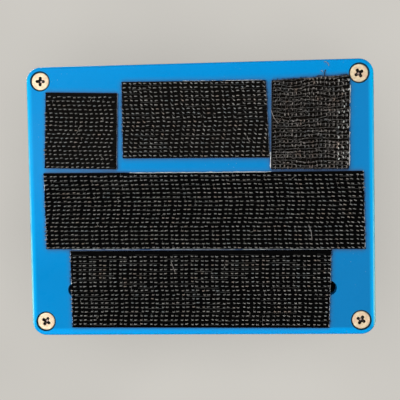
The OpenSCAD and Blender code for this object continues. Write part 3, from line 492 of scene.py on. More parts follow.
class Bag:
    """Points, in millimetres, and faces of many small shapes that become one mesh."""

    def __init__(self):
        self.points = []
        self.faces = []

    def grid(self, rows, closed=False):
        """Rows of points joined into quads; closed joins each row's last point to its first."""
        first = len(self.points)
        width = len(rows[0])
        for row in rows:
            self.points.extend(row)
        for i in range(len(rows) - 1):
            for j in range(width if closed else width - 1):
                a = first + i * width + j
                b = first + i * width + (j + 1) % width
                self.faces.append((a, b, b + width, a + width))
        return first

    def spin(self, place, profile, sides=48, closed=False):
        """A turned shape round local Z. The profile's points are (radius, height), and either may
        be a function of the angle. closed joins the last point to the first."""
        rings = []
        for radius, height in profile:
            start = len(self.points)
            count = 1 if radius == 0 else sides
            for k in range(count):
                t = math.tau * k / sides
                r = radius(t) if callable(radius) else radius
                h = height(t) if callable(height) else height
                self.points.append(place @ Vector((r * math.cos(t), r * math.sin(t), h)))
            rings.append(range(start, start + count))
        for low, high in zip(rings, rings[1:] + (rings[:1] if closed else [])):
            for k in range(sides):
                a, b = low[k % len(low)], low[(k + 1) % len(low)]
                c, d = high[(k + 1) % len(high)], high[k % len(high)]
                self.faces.append(tuple(dict.fromkeys((a, b, c, d))))

    def tube(self, path, radius, sides=6, side=Vector((0, 0, 1))):
        """A round thread along a path of vectors, closed at both ends. radius may be a list."""
        rows = []
        last = len(path) - 1
        for i, p in enumerate(path):
            along = (path[min(i + 1, last)] - path[max(i - 1, 0)]).normalized()
            one = (side - along * side.dot(along)).normalized()
            two = along.cross(one)
            r = radius[i] if isinstance(radius, list) else radius
            rows.append([p + r * (math.cos(t) * one + math.sin(t) * two)
                         for t in (math.tau * k / sides for k in range(sides))])
        first = self.grid(rows, closed=True)
        self.faces.append(tuple(range(first + sides - 1, first - 1, -1)))
        first += last * sides
        self.faces.append(tuple(range(first, first + sides)))

    def add(self, name, slot, material=None, body=BODY, stands_for=()):
        """The mesh as a piece of the object that rides on a body, with the finish of a slot of the record unless a
        material is given.
        """
        mesh = bpy.data.meshes.new(name)
        mesh.from_pydata([p * MM for p in self.points], [], self.faces)
        mesh.validate()
        mesh.update()
        mesh.materials.append(material or MATERIALS[slot])
        smooth_shade(mesh)
        obj = put_in_scene(name, mesh)
        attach(obj, body)
        if stands_for:
            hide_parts(*stands_for)

    def replace(self, node, ending, slot, material=None, body=BODY):
        """The same, in place of a CAD node. The piece's name is the node's with an ending."""
        self.add(node + ending, slot, material, body, stands_for=(node,))


def box_of(node):
    """Lowest and highest corner of a node, in millimetres."""
    return [Vector(corner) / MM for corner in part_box(node)]


def corner_points(node):
    """The corners of a slab's lowest face, in millimetres."""
    low = box_of(node)[0].z
    corners = []
    for vertex in NODES[node].data.vertices:
        p = vertex.co / MM
        if p.z < low + 0.1 and all((p.xy - q).length > 0.1 for q in corners):
            corners.append(p.xy)
    return corners


def solids(node):
    """The boxes of a node's separate solids, as (lowest corner, highest corner), in millimetres."""
    mesh = NODES[node].data
    keys = [tuple(round(c * 1e6) for c in vertex.co) for vertex in mesh.vertices]
    spot = {key: vertex.co / MM for key, vertex in zip(keys, mesh.vertices)}
    group = {key: [key] for key in spot}
    for polygon in mesh.polygons:
        whole = group[keys[polygon.vertices[0]]]
        for v in polygon.vertices:
            other = group[keys[v]]
            if other is not whole:
                whole.extend(other)
                group.update(dict.fromkeys(other, whole))
    boxes = []
    for members in {id(whole): whole for whole in group.values()}.values():
        axes = list(zip(*(spot[key] for key in members)))
        boxes.append([Vector([pick(axis) for axis in axes]) for pick in (min, max)])
    return sorted(boxes, key=lambda b: (round(b[0].x, 2), round(b[0].y, 2), b[0].z))


def wave(x, seed):
    """Smooth noise from -1 to 1 along a line."""
    return noise.noise(Vector((x, seed * 7.31, seed * 1.7)))


# ------------------------------ hook tape

BACK_T = 0.45               # thickness of the woven back
ROW_PITCH = 1.43            # between rows of hooks
PAIR_PITCH = 3.50           # between pairs of hooks along a row
LONG_REACH = 0.79           # of the long hook of a pair
SHORT_REACH = 0.56          # of the short one
THREAD_R = 0.17             # radius of a hook's thread
YARN_R = 0.07               # radius of the fine yarns between the hooks
WEAVE_STEP = 0.36           # between the points of the woven back
HOOK = ((-0.42, -0.1), (-0.56, 0.48), (-0.46, 0.84), (-0.20, 0.98), (0.18, 0.99), (0.44, 0.88),
        (0.56, 0.62))       # a hook's path, as shares of its reach and its height


class Strip:
    """A piece of tape: its middle, its run and width directions, and its slanted ends. u runs
    along it and v across it, from its middle."""

    def __init__(self, node, along_y=False):
        corners = corner_points(node)
        self.middle = sum(corners, Vector((0, 0))) / 4
        run = Vector((0, 1)) if along_y else Vector((1, 0))
        across = Vector((-run.y, run.x))
        by_width = sorted(corners, key=lambda p: (p - self.middle).dot(across))
        near, far = (sorted(two, key=lambda p: p.dot(run)) for two in (by_width[:2], by_width[2:]))
        self.run = ((near[1] - near[0]) + (far[1] - far[0])).normalized()
        self.across = Vector((-self.run.y, self.run.x))
        self.width = (far[0] - near[0]).dot(self.across)
        self.half = self.width / 2
        self.ends = [self.line(near[k], far[k]) for k in (0, 1)]
        self.low, self.top = (corner.z for corner in box_of(node))
        self.base = self.top - BACK_T
        self.hook_h = self.base - self.low - THREAD_R

    def line(self, p, q):
        """How far along the run a cut end lies, as start and slope over the width."""
        a, b = p - self.middle, q - self.middle
        slope = (b - a).dot(self.run) / (b - a).dot(self.across)
        return a.dot(self.run) - slope * a.dot(self.across), slope

    def span(self, v):
        """Start and end along the run at a place across the width."""
        return [start + slope * v for start, slope in self.ends]

    def at(self, u, v, z):
        return (self.middle + self.run * u + self.across * v).to_3d() + Vector((0, 0, z))


def hook_path(strip, u, v, facing, turn, height, reach, lean):
    """A cut loop: up from the weave, over in an arch, and down to its cut tip."""
    cos, sin = math.cos(turn), math.sin(turn)
    return [strip.at(u + facing * s * reach * cos + lean * h * sin,
                     v + facing * s * reach * sin + lean * h * cos, strip.base - h * height)
            for s, h in HOOK]


def column_shift(j, seed, wander):
    """How far row j's pairs are set along the tape: the columns of pairs weave to and fro."""
    return wander * (1.6 * wave(j * 0.13, seed) + 0.35 * wave(j * 0.7, seed + 9))


def lay_hooks(strip, seed, margins=(0.8, 0.8), bare_end=0.3, gap=1.43, mess=0.06, wander=1.0,
              slant=0.08, fan=0.21, sag=0.07, links=0.15, crossed=0.0, size=1.0):
    """Rows of paired hooks over a strip. Each pair has a short hook, slanted a little, and a long
    one. margins are the first and last row's distances from the selvedges, bare_end how far the
    last pairs stop short of the end, gap the step between a pair's two hooks, mess how unevenly
    the hooks stand, fan how far they turn from the plate's middle to its end in radians, sag how
    far some fall short, links how many of the short ones have a thread to the next row, crossed
    how many of them lie across the rows, size how long they are."""
    rng = random.Random(seed)
    bag = Bag()
    reach_over = strip.width - sum(margins)
    rows = round(reach_over / ROW_PITCH) + 1
    for j in range(rows):
        v0 = margins[0] - strip.half + j * reach_over / (rows - 1)
        start, end = strip.span(v0)
        shift = column_shift(j, seed, wander)
        for k in range(-1, int((end - start) / PAIR_PITCH) + 3):
            for long in (0, 1):
                u = start + k * PAIR_PITCH + long * gap + shift
                u += 0.4 * wave(u / 20, seed + 3) + rng.gauss(0, mess * 0.6)
                if not start + 0.3 < u < end - bare_end:
                    continue
                v = v0 + 0.14 * wave(u / 9, seed + 5) + rng.gauss(0, mess * 0.5)
                turn = rng.gauss(0, mess) + 0.12 * wave(u / 12 + j * 0.2, seed + 2)
                turn += fan * strip.at(u, v, 0).x / 50
                reach = rng.uniform(0.92, 1.08) * (LONG_REACH if long else SHORT_REACH) * size
                if not long:
                    turn += slant * (1 + wave(j * 0.4, seed + 6)) + rng.gauss(0, mess)
                    if rng.random() < crossed:
                        turn += math.pi / 2
                fall = sag * (1 + 3 * crossed * (1 + v / strip.half))
                tall = strip.hook_h * (1 - min(abs(rng.gauss(0, fall)), 0.5))
                path = hook_path(strip, u, v, 1 if long else -1, turn, tall, reach,
                                 rng.gauss(0.05, mess))
                bag.tube(path, THREAD_R * (1 if long else 1.08))
                if not long and rng.random() < links:
                    link_rows(bag, strip, u - 0.3 * reach, v, rng, 1.5 * slant)
    return bag


def link_rows(bag, strip, u, v, rng, drift):
    """A fine thread that runs down from a hook to the next row, and drifts along it meanwhile."""
    way = rng.choice((-1, 1))
    z = strip.low + rng.uniform(0.42, 0.6)
    bag.tube([strip.at(u + way * drift * t + rng.gauss(0, 0.03), v + way * t, z + 0.5 * t * t)
              for t in (0.05, 0.35, 0.65, 0.95)], YARN_R, 4)


def lay_warps(strip, seed):
    """Fine yarns that show between some of the rows, along the strip."""
    rng = random.Random(seed)
    bag = Bag()
    for j in range(round(strip.width / ROW_PITCH)):
        v = (j + 1) * ROW_PITCH - strip.half
        start, end = strip.span(v)
        u = start + rng.uniform(0.5, 8)
        while u < end - 3 and abs(v) < strip.half - 0.4:
            stop = min(u + rng.uniform(3, 14), end - 0.4)
            steps = max(3, round((stop - u) / 1.2))
            z = strip.low + rng.uniform(0.68, 0.85)
            bag.tube([strip.at(u + (stop - u) * k / steps, v + 0.1 * wave(u * 0.09 + k * 0.4, seed),
                               z + 0.1 * wave(k * 0.8, seed + j)) for k in range(steps + 1)],
                     YARN_R, 4)
            u = stop + rng.uniform(3, 18)
    return bag


def lay_wefts(strip, seed, steps=72):
    """Yarns across the strip between the hooks, which dip and rise and sway between them."""
    bag = Bag()
    start, end = strip.span(0)
    count = round((end - start) / 1.15)
    for k in range(count + 1):
        path = []
        for j in range(steps + 1):
            v = strip.width * (j / steps - 0.5) * 0.97
            a, b = strip.span(v)
            u = a + (b - a) * k / count + 1.1 * wave(v / 8, seed + 0.02 * k)
            u += 0.3 * wave(v / 2.6, seed + k * 0.31)
            z = 0.62 + 0.34 * wave(j * 0.35, seed + k * 3.1) + 0.12 * (-1) ** (j // 2)
            path.append(strip.at(min(max(u, a + 0.3), b - 0.3), v, strip.low + max(z, 0.2)))
        bag.tube(path, YARN_R + 0.015, 5)
    return bag


def lay_weave(strip, seed, glue_shows, ragged):
    """The woven back: its underside rises and falls with the yarns, its rim is closed. Its cut
    ends fall short of the adhesive here and there, more if ragged is high. Where glue_shows is
    given, the front edge covers the adhesive outside that stretch along X."""
    rows = round(strip.width / WEAVE_STEP)
    lengths = [end - start for start, end in (strip.span(-strip.half), strip.span(strip.half))]
    columns = round(max(lengths) / WEAVE_STEP)
    under, over = [], []
    for i in range(rows + 1):
        v = strip.width * i / rows - strip.half
        start, end = strip.span(v)
        short = [max(0.16 + 0.3 * wave(i * 0.45, seed + k) + 0.12 * wave(i * 1.7, seed + k), 0)
                 * ragged for k in (0, 4)]
        line, top_line = [], []
        for j in range(columns + 1):
            u = start + (end - start) * j / columns
            u += short[0] * (j == 0) - short[1] * (j == columns)
            rim = i in (0, rows) or j in (0, columns)
            rib = 0 if rim else math.cos(math.tau * v / ROW_PITCH) * 0.06 + (-1) ** (i + j) * 0.05
            w = v
            if glue_shows and i == 0:
                inside = min(u - glue_shows[0], glue_shows[1] - u) / 3
                w -= 0.26 * min(max(0.5 - inside, 0), 1)
            line.append(strip.at(u, w, strip.base - rib + 0.03 * wave(u / 2, seed + i)))
            top_line.append(strip.at(u, w, strip.top - 0.02))
        under.append(line)
        over.append(top_line)
    bag = Bag()
    bag.grid([row[::-1] for row in under])
    bag.grid(over)
    bag.grid([under[0], over[0]])
    bag.grid([over[-1], under[-1]])
    bag.grid([[row[0] for row in over], [row[0] for row in under]])
    bag.grid([[row[-1] for row in under], [row[-1] for row in over]])
    return bag


def selvedges(strip, seed):
    """A thicker yarn down each long edge of the tape."""
    bag = Bag()
    for side in (-1, 1):
        v = side * (strip.half - 0.24)
        start, end = strip.span(v)
        steps = round((end - start) / 1.1)
        bag.tube([strip.at(start + (end - start) * k / steps, v + 0.05 * wave(k * 0.7, seed),
                           strip.base - 0.02) for k in range(steps + 1)],
                 [0.2 * (1 + 0.25 * (-1) ** k) for k in range(steps + 1)])
    return bag


def fringe(strip, seed, density):
    """Short cut fibres that stick out of the two cut ends, so many to a millimetre."""
    rng = random.Random(seed)
    bag = Bag()
    for end, out in ((0, -1), (1, 1)):
        for _ in range(int(strip.width * density)):
            v = rng.uniform(-0.49, 0.49) * strip.width
            u = strip.span(v)[end]
            z = strip.top - rng.uniform(0.1, 0.55)
            length = rng.uniform(0.15, 0.55)
            slew = rng.gauss(0, 0.35) * length
            bag.tube([strip.at(u - out * 0.4, v, z),
                      strip.at(u + out * 0.3 * length, v + slew * 0.3, z),
                      strip.at(u + out * length, v + slew, z + rng.uniform(-0.2, 0.1))], 0.045, 4)
    return bag


def fuzz(strip, seed, count):
    """Loose curled fibres caught among the hooks."""
    rng = random.Random(seed)
    bag = Bag()
    for _ in range(count):
        v = rng.uniform(-0.47, 0.47) * strip.width
        start, end = strip.span(v)
        u = rng.uniform(start + 1.2, end - 1.2)
        z = strip.low + rng.uniform(0.15, 0.9)
        angle = rng.uniform(0, math.tau)
        bend = rng.gauss(0, 0.7)
        path = []
        for k in range(7):
            path.append(strip.at(u, v, z + 0.12 * wave(k * 0.9, seed + 0.999 * u)))
            u += math.cos(angle) * 0.28
            v += math.sin(angle) * 0.28
            angle += bend * 0.5
        if abs(v) < strip.half - 0.2:
            bag.tube(path, 0.035, 4)
    return bag


def glue_bead(strip, name, side, radius, *stretches):
    """Adhesive pressed out along a long edge of the tape (side -1 or 1), in broken stretches
    given as shares of the edge's length."""
    bag = Bag()
    v = side * (strip.half + 0.13)
    start, end = strip.span(v)
    for first, last in stretches:
        a, b = start + (end - start) * first, start + (end - start) * last
        steps = max(4, round((b - a) / 0.45))
        path, thick = [], []
        for k in range(steps + 1):
            u = a + (b - a) * k / steps
            path.append(strip.at(u, v + 0.05 * wave(0.9 * u, side + 3), 1.95))
            swell = 0.75 + 0.9 * wave(1.4 * u, side + 7) + 0.5 * wave(0.33 * u, side + 2)
            thick.append(radius * (max(swell, 0.12) if 0 < k < steps else 0.1))
        bag.tube(path, thick)
    bag.add(name, "adhesive")


def glinting_hooks(strip, seed):
    """Hooks painted pale as glints, in three columns beside a piece's outer selvedge, fewer towards the rear."""
    rng = random.Random(seed)
    bag = Bag()
    step = PAIR_PITCH / 2
    for column in (0.55, 2.1, 3.7):
        v = column - strip.half
        start, end = strip.span(v)
        for k in range(1, int((end - start) / step)):
            if rng.random() < 0.25 + 0.5 * k * step / (end - start):
                u = start + k * step + rng.gauss(0, 0.15)
                bag.tube(hook_path(strip, u, v + rng.gauss(0, 0.12), 1, rng.gauss(0, 0.4),
                                   strip.hook_h, 0.45, 0), THREAD_R * 1.15)
    return bag


def make_tape(node, seed, along_y=False, yarn=BACKING, fuzzy=False, glue_shows=None, ragged=1.0,
              **look):
    strip = Strip(node, along_y)
    slot = "hook_tape_fuzzy" if fuzzy else "hook_tape"
    lay_hooks(strip, seed, **look).replace(node, "_hooks", slot)
    lay_weave(strip, seed, glue_shows, ragged).replace(node, "_weave", slot, yarn)
    selvedges(strip, seed).add(node + "_selvedges", slot, yarn)
    fringe(strip, seed + 20, density=3.2 if fuzzy else 1.4).add(node + "_fringe", slot)
    lay_warps(strip, seed + 30).add(node + "_warps", slot)
    if fuzzy:
        lay_wefts(strip, seed + 30).add(node + "_wefts", slot)
        fuzz(strip, seed + 40, count=200).add(node + "_fuzz", slot)
        glinting_hooks(strip, seed + 50).add(node + "_glints", slot, GLINT_NYLON)
    else:
        fuzz(strip, seed + 40, count=5).add(node + "_lint", slot, LINT)
    return strip


LONG = make_tape("hook_tape_long", 1, glue_shows=(-25, 23), margins=(1.0, 0.6))
make_tape("hook_tape_lower", 2, margins=(1.95, 1.5), fan=0.11)
make_tape("hook_tape_upper_left", 3, yarn=BACKING_DUSTY, ragged=0.3, margins=(1.6, 0.6), wander=2.2,
          sag=0.09, mess=0.09, slant=0.0, fan=0.14, gap=1.72, bare_end=1.1, size=0.94)
MIDDLE = make_tape("hook_tape_upper_middle", 4, yarn=BACKING_DUSTY, ragged=0.35, slant=0.42,
                   fan=-0.05, gap=1.55, mess=0.08, sag=0.12, links=0.9, size=1.06)
RIGHT = make_tape("hook_tape_upper_right", 5, along_y=True, yarn=BACKING_FUZZY, fuzzy=True,
                  ragged=0.0, margins=(1.1, 1.5), mess=0.16, wander=1.3, fan=0.0, sag=0.1,
                  links=0.5, crossed=0.4, size=0.85)

glue_bead(RIGHT, "glue_right_strip", -1, 0.34, (0.10, 0.30), (0.33, 0.56), (0.60, 0.97))
glue_bead(RIGHT, "glue_right_strip_inner", 1, 0.22, (0.80, 0.99))
glue_bead(MIDDLE, "glue_middle_strip", -1, 0.1, (0.42, 0.66), (0.70, 0.98))
glue_bead(LONG, "glue_long_strip_front", -1, 0.2, (0.27, 0.45), (0.44, 0.72))
glue_bead(LONG, "glue_long_strip_rear", 1, 0.1, (0.08, 0.30), (0.33, 0.60), (0.62, 0.90))


def make_springs():
    """Each return spring is a copy of the CAD helix, on the enclosure."""
    for joint in frame["joints"]:
        for wound in joint.get("deforming_nodes", ()):
            node = wound["node"]
            spring = put_in_scene(node + "_wound", NODES[node].data.copy())
            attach(spring, BODY)
            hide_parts(node)
            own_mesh(spring)


make_springs()


def hair(name, material, radius, *points, steps=6):
    """A loose hair, bent smoothly through its points."""
    ends = [Vector(p) for p in points]
    path = []
    for before, a, b, after in zip(ends[:1] + ends, ends, ends[1:], ends[2:] + ends[-1:]):
        for t in (k / steps for k in range(steps)):
            path.append(0.5 * (2 * a + (b - before) * t + (2 * before - 5 * a + 4 * b - after) * t * t
                               + (3 * a - before - 3 * b + after) * t ** 3))
    bag = Bag()
    bag.tube(path + ends[-1:], radius, 5)
    bag.add(name, "hook_tape_fuzzy", material)


hair("hair_right_strip", PALE_HAIR, 0.09,
     (25.0, -29.9, 0.5), (25.3, -28.8, 0.25), (25.9, -27.2, 0.15), (27.3, -25.4, 0.2))
hair("hair_middle_strip", PALE_HAIR, 0.07, (16.7, -21.4, 0.3), (17.1, -20.3, 0.12), (17.7, -19.4, 0.3))
hair("hair_lower_strip", PALE_HAIR, 0.07, (-10.0, 21.2, 0.3), (-9.3, 22.9, 0.12), (-8.7, 24.7, 0.3))
hair("hair_long_strip", PALE_HAIR, 0.07,
     (37.1, 9.1, 0.3), (37.8, 11.4, 0.12), (38.0, 12.8, 0.12), (38.1, 14.2, 0.3))
hair("hair_on_plate", PALE_HAIR, 0.075,
     (43.0, -46.0, 1.95), (43.8, -45.9, 1.9), (44.4, -45.3, 1.9), (44.6, -44.5, 1.95))
hair("hair_at_strip_end", PALE_HAIR, 0.08, (41.9, -42.9, 1.9), (42.3, -43.0, 1.8), (42.5, -42.5, 1.7))
hair("thread_on_plate", DARK_THREAD, 0.13,
     (43.0, -40.4, 0.9), (43.0, -41.4, 1.5), (43.2, -42.4, 1.9), (43.5, -43.3, 2.0))
hair("thread_at_strip_end", DARK_THREAD, 0.11,
     (42.6, -40.5, 0.9), (42.0, -41.2, 1.6), (41.2, -41.4, 1.9), (40.6, -41.2, 2.0))

# ------------------------------ screws

RECESS_TURNS = (3, 60, 32, 28)      # front left, front right, rear left, rear right


def axis_of(box, axis=Z):
    """A matrix with local Z out of the object along an axis, at the box's inner end, and the
    box's length along it."""
    low, high = box
    origin = (low + high) / 2
    z = Vector((0, 0, 0))
    z[axis] = 1 if axis == Z or origin[axis] > 0 else -1
    origin[axis] = low[axis] if z[axis] > 0 else high[axis]
    x = Vector((1, 0, 0)) if axis == Z else Vector((0, 0, 1)).cross(z)
    turn = Matrix((x, z.cross(x), z)).transposed().to_4x4()
    return Matrix.Translation(origin) @ turn, high[axis] - low[axis]


def radius_of(box):
    return (box[1].x - box[0].x) / 2


def cross(size, turn, width, middle):
    """Outline of a cross recess: four arms with straight sides and rounded ends."""
    def radius(angle):
        a = (angle - math.radians(turn) + math.pi / 4) % (math.pi / 2) - math.pi / 4
        arm = width / 2 / max(abs(math.sin(a)), 1e-6)
        return max(middle, min(size * (1 - 0.9 * a * a), arm))
    return radius


def make_screws():
    """Countersunk screws with a cross recess, heads towards the floor."""
    bag = Bag()
    arm = 1.62              # reach of the recess
    cone = 1.35             # height of the countersunk part
    boxes = sorted(solids("base_screws"), key=lambda b: (round(b[0].y, 1), b[0].x))
    for box, turn in zip(boxes, RECESS_TURNS):
        place, tall = axis_of(box)
        r = radius_of(box)
        bag.spin(place, [
            (0, 1.16), (0.42, 1.10), (0.5, 1.35), (cross(1.25, turn, 0.70, 0.62), 1.25),
            (cross(0.95 * arm, turn, 0.94, 0.74), 0.5), (cross(arm, turn, 1.04, 0.80), 0.08),
            (cross(1.05 * arm, turn, 1.10, 0.84), 0), (0.66 * r, 0), (0.80 * r, 0.015),
            (0.92 * r, 0.05), (0.97 * r, 0.10), (r, 0.22), (0.99 * r, 0.34),
            (r - cone, cone + 0.2), (1.7, tall - 0.4), (1.2, tall), (0, tall)], 144)
    bag.replace("base_screws", "_cross", "screw_nickel")


make_screws()

# ------------------------------ hardware


def hexagon(flats):
    """Radius of a hexagonal bar round its axis, with a corner at angle 0."""
    return lambda angle: flats / 2 / math.cos(angle % (math.pi / 3) - math.pi / 6)


def rectangle(x, y):
    """Radius of a plate with sides x and y and small rounded corners."""
    return lambda angle: (abs(2 * math.cos(angle) / x) ** 16
                          + abs(2 * math.sin(angle) / y) ** 16) ** (-1 / 16)


def thread(radius, low, high, pitch, depth=0.3):
    """Profile of a threaded stretch, as ridges round it, from low to high."""
    points = [(radius, low)]
    turns = int((high - low) / pitch)
    for k in range(turns):
        z = high - (turns - k) * pitch
        points += [(radius, z), (radius - depth, z + 0.5 * pitch), (radius, z + 0.92 * pitch)]
    return points + [(radius - 0.5 * depth, high)]


def turn_solids(node, ending, slot, profile, axis=Z, sides=72, closed=False, body=BODY):
    """A turned shape for each solid of a node. profile gives the points for its size and length."""
    bag = Bag()
    for box in solids(node):
        place, tall = axis_of(box, axis)
        bag.spin(place, profile(box[1] - box[0], tall), sides, closed)
    bag.replace(node, ending, slot, body=body)


def make_nuts(node, axis, bore, slot, lip=0.3):
    """Hexagonal nuts with chamfered corners and countersunk bores."""
    def profile(size, tall):
        flats = min(size[k] for k in range(3) if k != axis)
        edge = hexagon(flats)
        flat = 0.47 * flats

        def chamfer(angle):
            return (edge(angle) - flat) * 0.5

        return [(bore + lip, 0), (flat, 0), (edge, chamfer), (edge, lambda a: tall - chamfer(a)),
                (flat, tall), (bore + lip, tall), (bore, tall - lip), (bore, lip)]

    turn_solids(node, "_chamfered", slot, profile, axis, closed=True)


def make_washers(node, axis, bore, slot, edge=0.12):
    """Flat rings with their edges broken."""
    def profile(size, tall):
        outer = max(size) / 2
        return [(bore + edge, 0), (outer - edge, 0), (outer, edge), (outer, tall - edge),
                (outer - edge, tall), (bore + edge, tall), (bore, tall - edge), (bore, edge)]

    turn_solids(node, "_turned", slot, profile, axis, closed=True)


def make_bushes(node, axis, foot, foot_t, radius, bore, bare, pitch=0.75, lip=0.35):
    """Threaded bushes on a foot. foot is the foot's radius, bare the length without thread."""
    def profile(size, tall):
        return ([(bore, 0), (foot, 0), (foot, foot_t), (radius, foot_t)]
                + thread(radius, bare, tall - lip, pitch)
                + [(radius - lip - 0.1, tall), (bore + lip, tall), (bore, tall - lip)])

    turn_solids(node, "_threaded", "bright_steel", profile, axis, closed=True)


FLUTES = 14


def fluted(radius, depth):
    """Radius of a knob's body with flutes cut into it, softly at their edges."""
    pitch = math.tau / FLUTES
    reach = 0.66 * pitch / 2

    def outline(angle):
        off = angle % pitch - pitch / 2
        return radius - (depth * math.cos(off / reach * math.pi / 2) ** 0.8 if abs(off) < reach else 0)
    return outline


def make_knob(node, body):
    """A skirted knob with flutes, a dished top and an inlaid pointer."""
    box = box_of(node)
    place, tall = axis_of(box)
    skirt = radius_of(box)
    grip = 8.25
    cut = fluted(grip, 0.62)
    bag = Bag()
    bag.spin(place, [
        (0, 12.4), (3.05, 12.4), (3.05, 4.8), (6.7, 4.8), (6.7, 0.2), (6.9, 0), (skirt - 0.4, 0),
        (skirt - 0.1, 0.12), (skirt, 0.4), (skirt - 0.02, 2.0), (skirt - 0.25, 2.5),
        (skirt - 0.8, 2.9), (grip + 0.25, 3.15), (grip + 0.06, 3.3), (fluted(grip, 0.2), 3.7),
        (cut, 4.1), (cut, tall - 1.0), (lambda t: cut(t) - 0.16, tall - 0.5),
        (lambda t: cut(t) - 0.45, tall - 0.16), (lambda t: cut(t) - 0.9, tall), (6.6, tall),
        (6.3, tall - 0.12), (5.6, tall - 0.3), (3, tall - 0.42), (0, tall - 0.45)], FLUTES * 12)
    bag.replace(node, "_fluted", "knob_black", body=body)
    line = Bag()
    points = [(1.6, -0.62), (3, -0.60), (5, -0.52), (6.2, -0.4), (7.0, -0.32), (7.35, -0.42),
              (7.6, -0.8), (7.68, -1.6), (7.68, -5), (7.68, -9.6), (7.9, -10.4), (8.6, -10.9),
              (9.2, -11.35)]
    line.tube([place @ Vector((0, r, tall + z)) for r, z in points], 0.36, 8, side=Vector((1, 0, 0)))
    line.add(node + "_pointer", "nylon", POINTER_WHITE, body)


def make_button(node, body, r=4.9):
    """A footswitch button: stem with its collar, and a cap with a soft edge and a domed top."""
    def profile(size, tall):
        cap = tall - 4
        return [(0, 0), (5.0, 0), (5.2, 0.2), (5.2, 1.0), (5.0, 1.2), (4, 1.2), (4, cap),
                (r - 0.35, cap), (r - 0.1, cap + 0.1), (r, cap + 0.35), (r, tall - 1.35),
                (r - 0.06, tall - 1.1), (r - 0.25, tall - 0.9), (r - 0.6, tall - 0.72),
                (r - 1.4, tall - 0.42), (r - 2.6, tall - 0.16), (r - 3.9, tall - 0.03), (0, tall)]

    turn_solids(node, "_domed", "bright_steel", profile, body=body)


def make_lever(pivot=8.5):
    """The toggle's bat lever, with the ball it turns on and the foot that moves the contacts."""
    def profile(size, tall):
        ball = size.x / 2
        angles = (math.radians(-72 + k * 9) for k in range(17))
        round_part = [(ball * math.cos(a), pivot + ball * math.sin(a)) for a in angles
                      if ball * math.cos(a) > 0.95]
        top = round_part[-1][1] + 0.3
        return [(0, 0), (0.7, 0), (0.9, 0.2), *round_part, (1.0, top), (1.02, top + 2),
                (1.2, tall - 6.5), (1.42, tall - 3.5), (1.5, tall - 2.0), (1.46, tall - 1.2),
                (1.3, tall - 0.65), (0.95, tall - 0.25), (0.5, tall - 0.05), (0, tall)]

    turn_solids("toggle_lever", "_bat", "bright_steel", profile, sides=40, body="toggle")


def make_lamps(dome=2.5):
    """Lamp bezels with a rolled rim, and their lenses."""
    def bezel(size, tall):
        face = tall - 1.8
        return [(2.55, 0), (3.3, 0), (3.3, face), (3.95, face), (4.1, face + 0.15),
                (4.1, face + 0.6), (3.95, face + 1.1), (3.6, face + 1.55), (3.2, face + 1.75),
                (2.95, tall), (2.7, tall - 0.08), (2.55, tall - 0.3)]

    def lens(size, tall):
        top = [(dome * math.cos(a), tall - dome + dome * math.sin(a))
               for a in (math.pi / 2 * k / 8 for k in range(8))]
        return [(0, 0), (2.8, 0), (2.9, 0.1), (2.9, 0.9), (2.8, 1), (dome, 1), *top, (0, tall)]

    turn_solids("lamp_bezels", "_rolled", "bright_steel", bezel, sides=64, closed=True)
    turn_solids("lamp_lenses", "_domed", "red_lens", lens, sides=48)


def make_power_socket(body=5.5, bore=2.8):
    """The power socket's body with its rounded flange and bore, and the pin with a round tip."""
    def socket(size, tall):
        flange = size.x / 2
        return [(0, 0), (body, 0), (body, tall - 1), (flange - 0.15, tall - 1),
                (flange, tall - 0.85), (flange, tall - 0.4), (flange - 0.15, tall - 0.1),
                (flange - 0.5, tall), (bore + 0.45, tall), (bore + 0.12, tall - 0.12),
                (bore, tall - 0.45), (bore, tall - 10), (0, tall - 10)]

    def pin(size, tall):
        r = size.x / 2
        return [(0, 0), (0.8, 0), (0.85, tall - 9), (r, tall - 9), (r, tall - 0.55),
                (0.85 * r, tall - 0.22), (0.5 * r, tall - 0.05), (0, tall)]

    turn_solids("power_socket", "_turned", "black_plastic", socket, Y, sides=64)
    turn_solids("power_pin", "_rounded", "brass_pin", pin, Y, sides=32)


SWITCH_BORE = 6.05          # radius of the hole in the footswitches' nuts and washers
TOGGLE_RING = 3.22          # the same for the toggle's
JACK_RING = 4.8             # and for the jack sockets'
TOGGLE_BORE = radius_of(box_of("toggle_lever")) + 0.05

make_nuts("footswitch_nuts", Z, SWITCH_BORE, "bright_steel")
make_nuts("toggle_nut", Z, TOGGLE_RING, "bright_steel")
make_nuts("jack_nuts", X, JACK_RING, "bright_steel")
make_washers("footswitch_outer_washers", Z, SWITCH_BORE, "nylon", edge=0.25)
make_washers("toggle_washers", Z, TOGGLE_RING, "plain_steel")
make_washers("jack_washers", X, JACK_RING, "plain_steel")
make_bushes("footswitch_bushes", Z, rectangle(17.2, 16.2), foot_t=1, radius=6, bore=4.05, bare=7.4)
make_bushes("toggle_bush", Z, rectangle(13.2, 8), foot_t=0.8, radius=3.17, bore=TOGGLE_BORE,
            bare=5.4, pitch=0.5)
make_bushes("jack_bushes", X, 6.5, foot_t=1.2, radius=4.75, bore=3.25, bare=4.0, pitch=0.8)
for number in (1, 2, 3, 4):
    make_knob("knob_%d" % number, "control_%d" % number)
for side in ("left", "right"):
    make_button("footswitch_button_" + side, side + "_button")
make_lever()
make_lamps()
make_power_socket()

# ------------------------------ stage

PALE = (0.60, 0.58, 0.54)   # colour of the floor, the backdrop and the world
SKY_LEVEL = 0.416           # strength of the world's own light


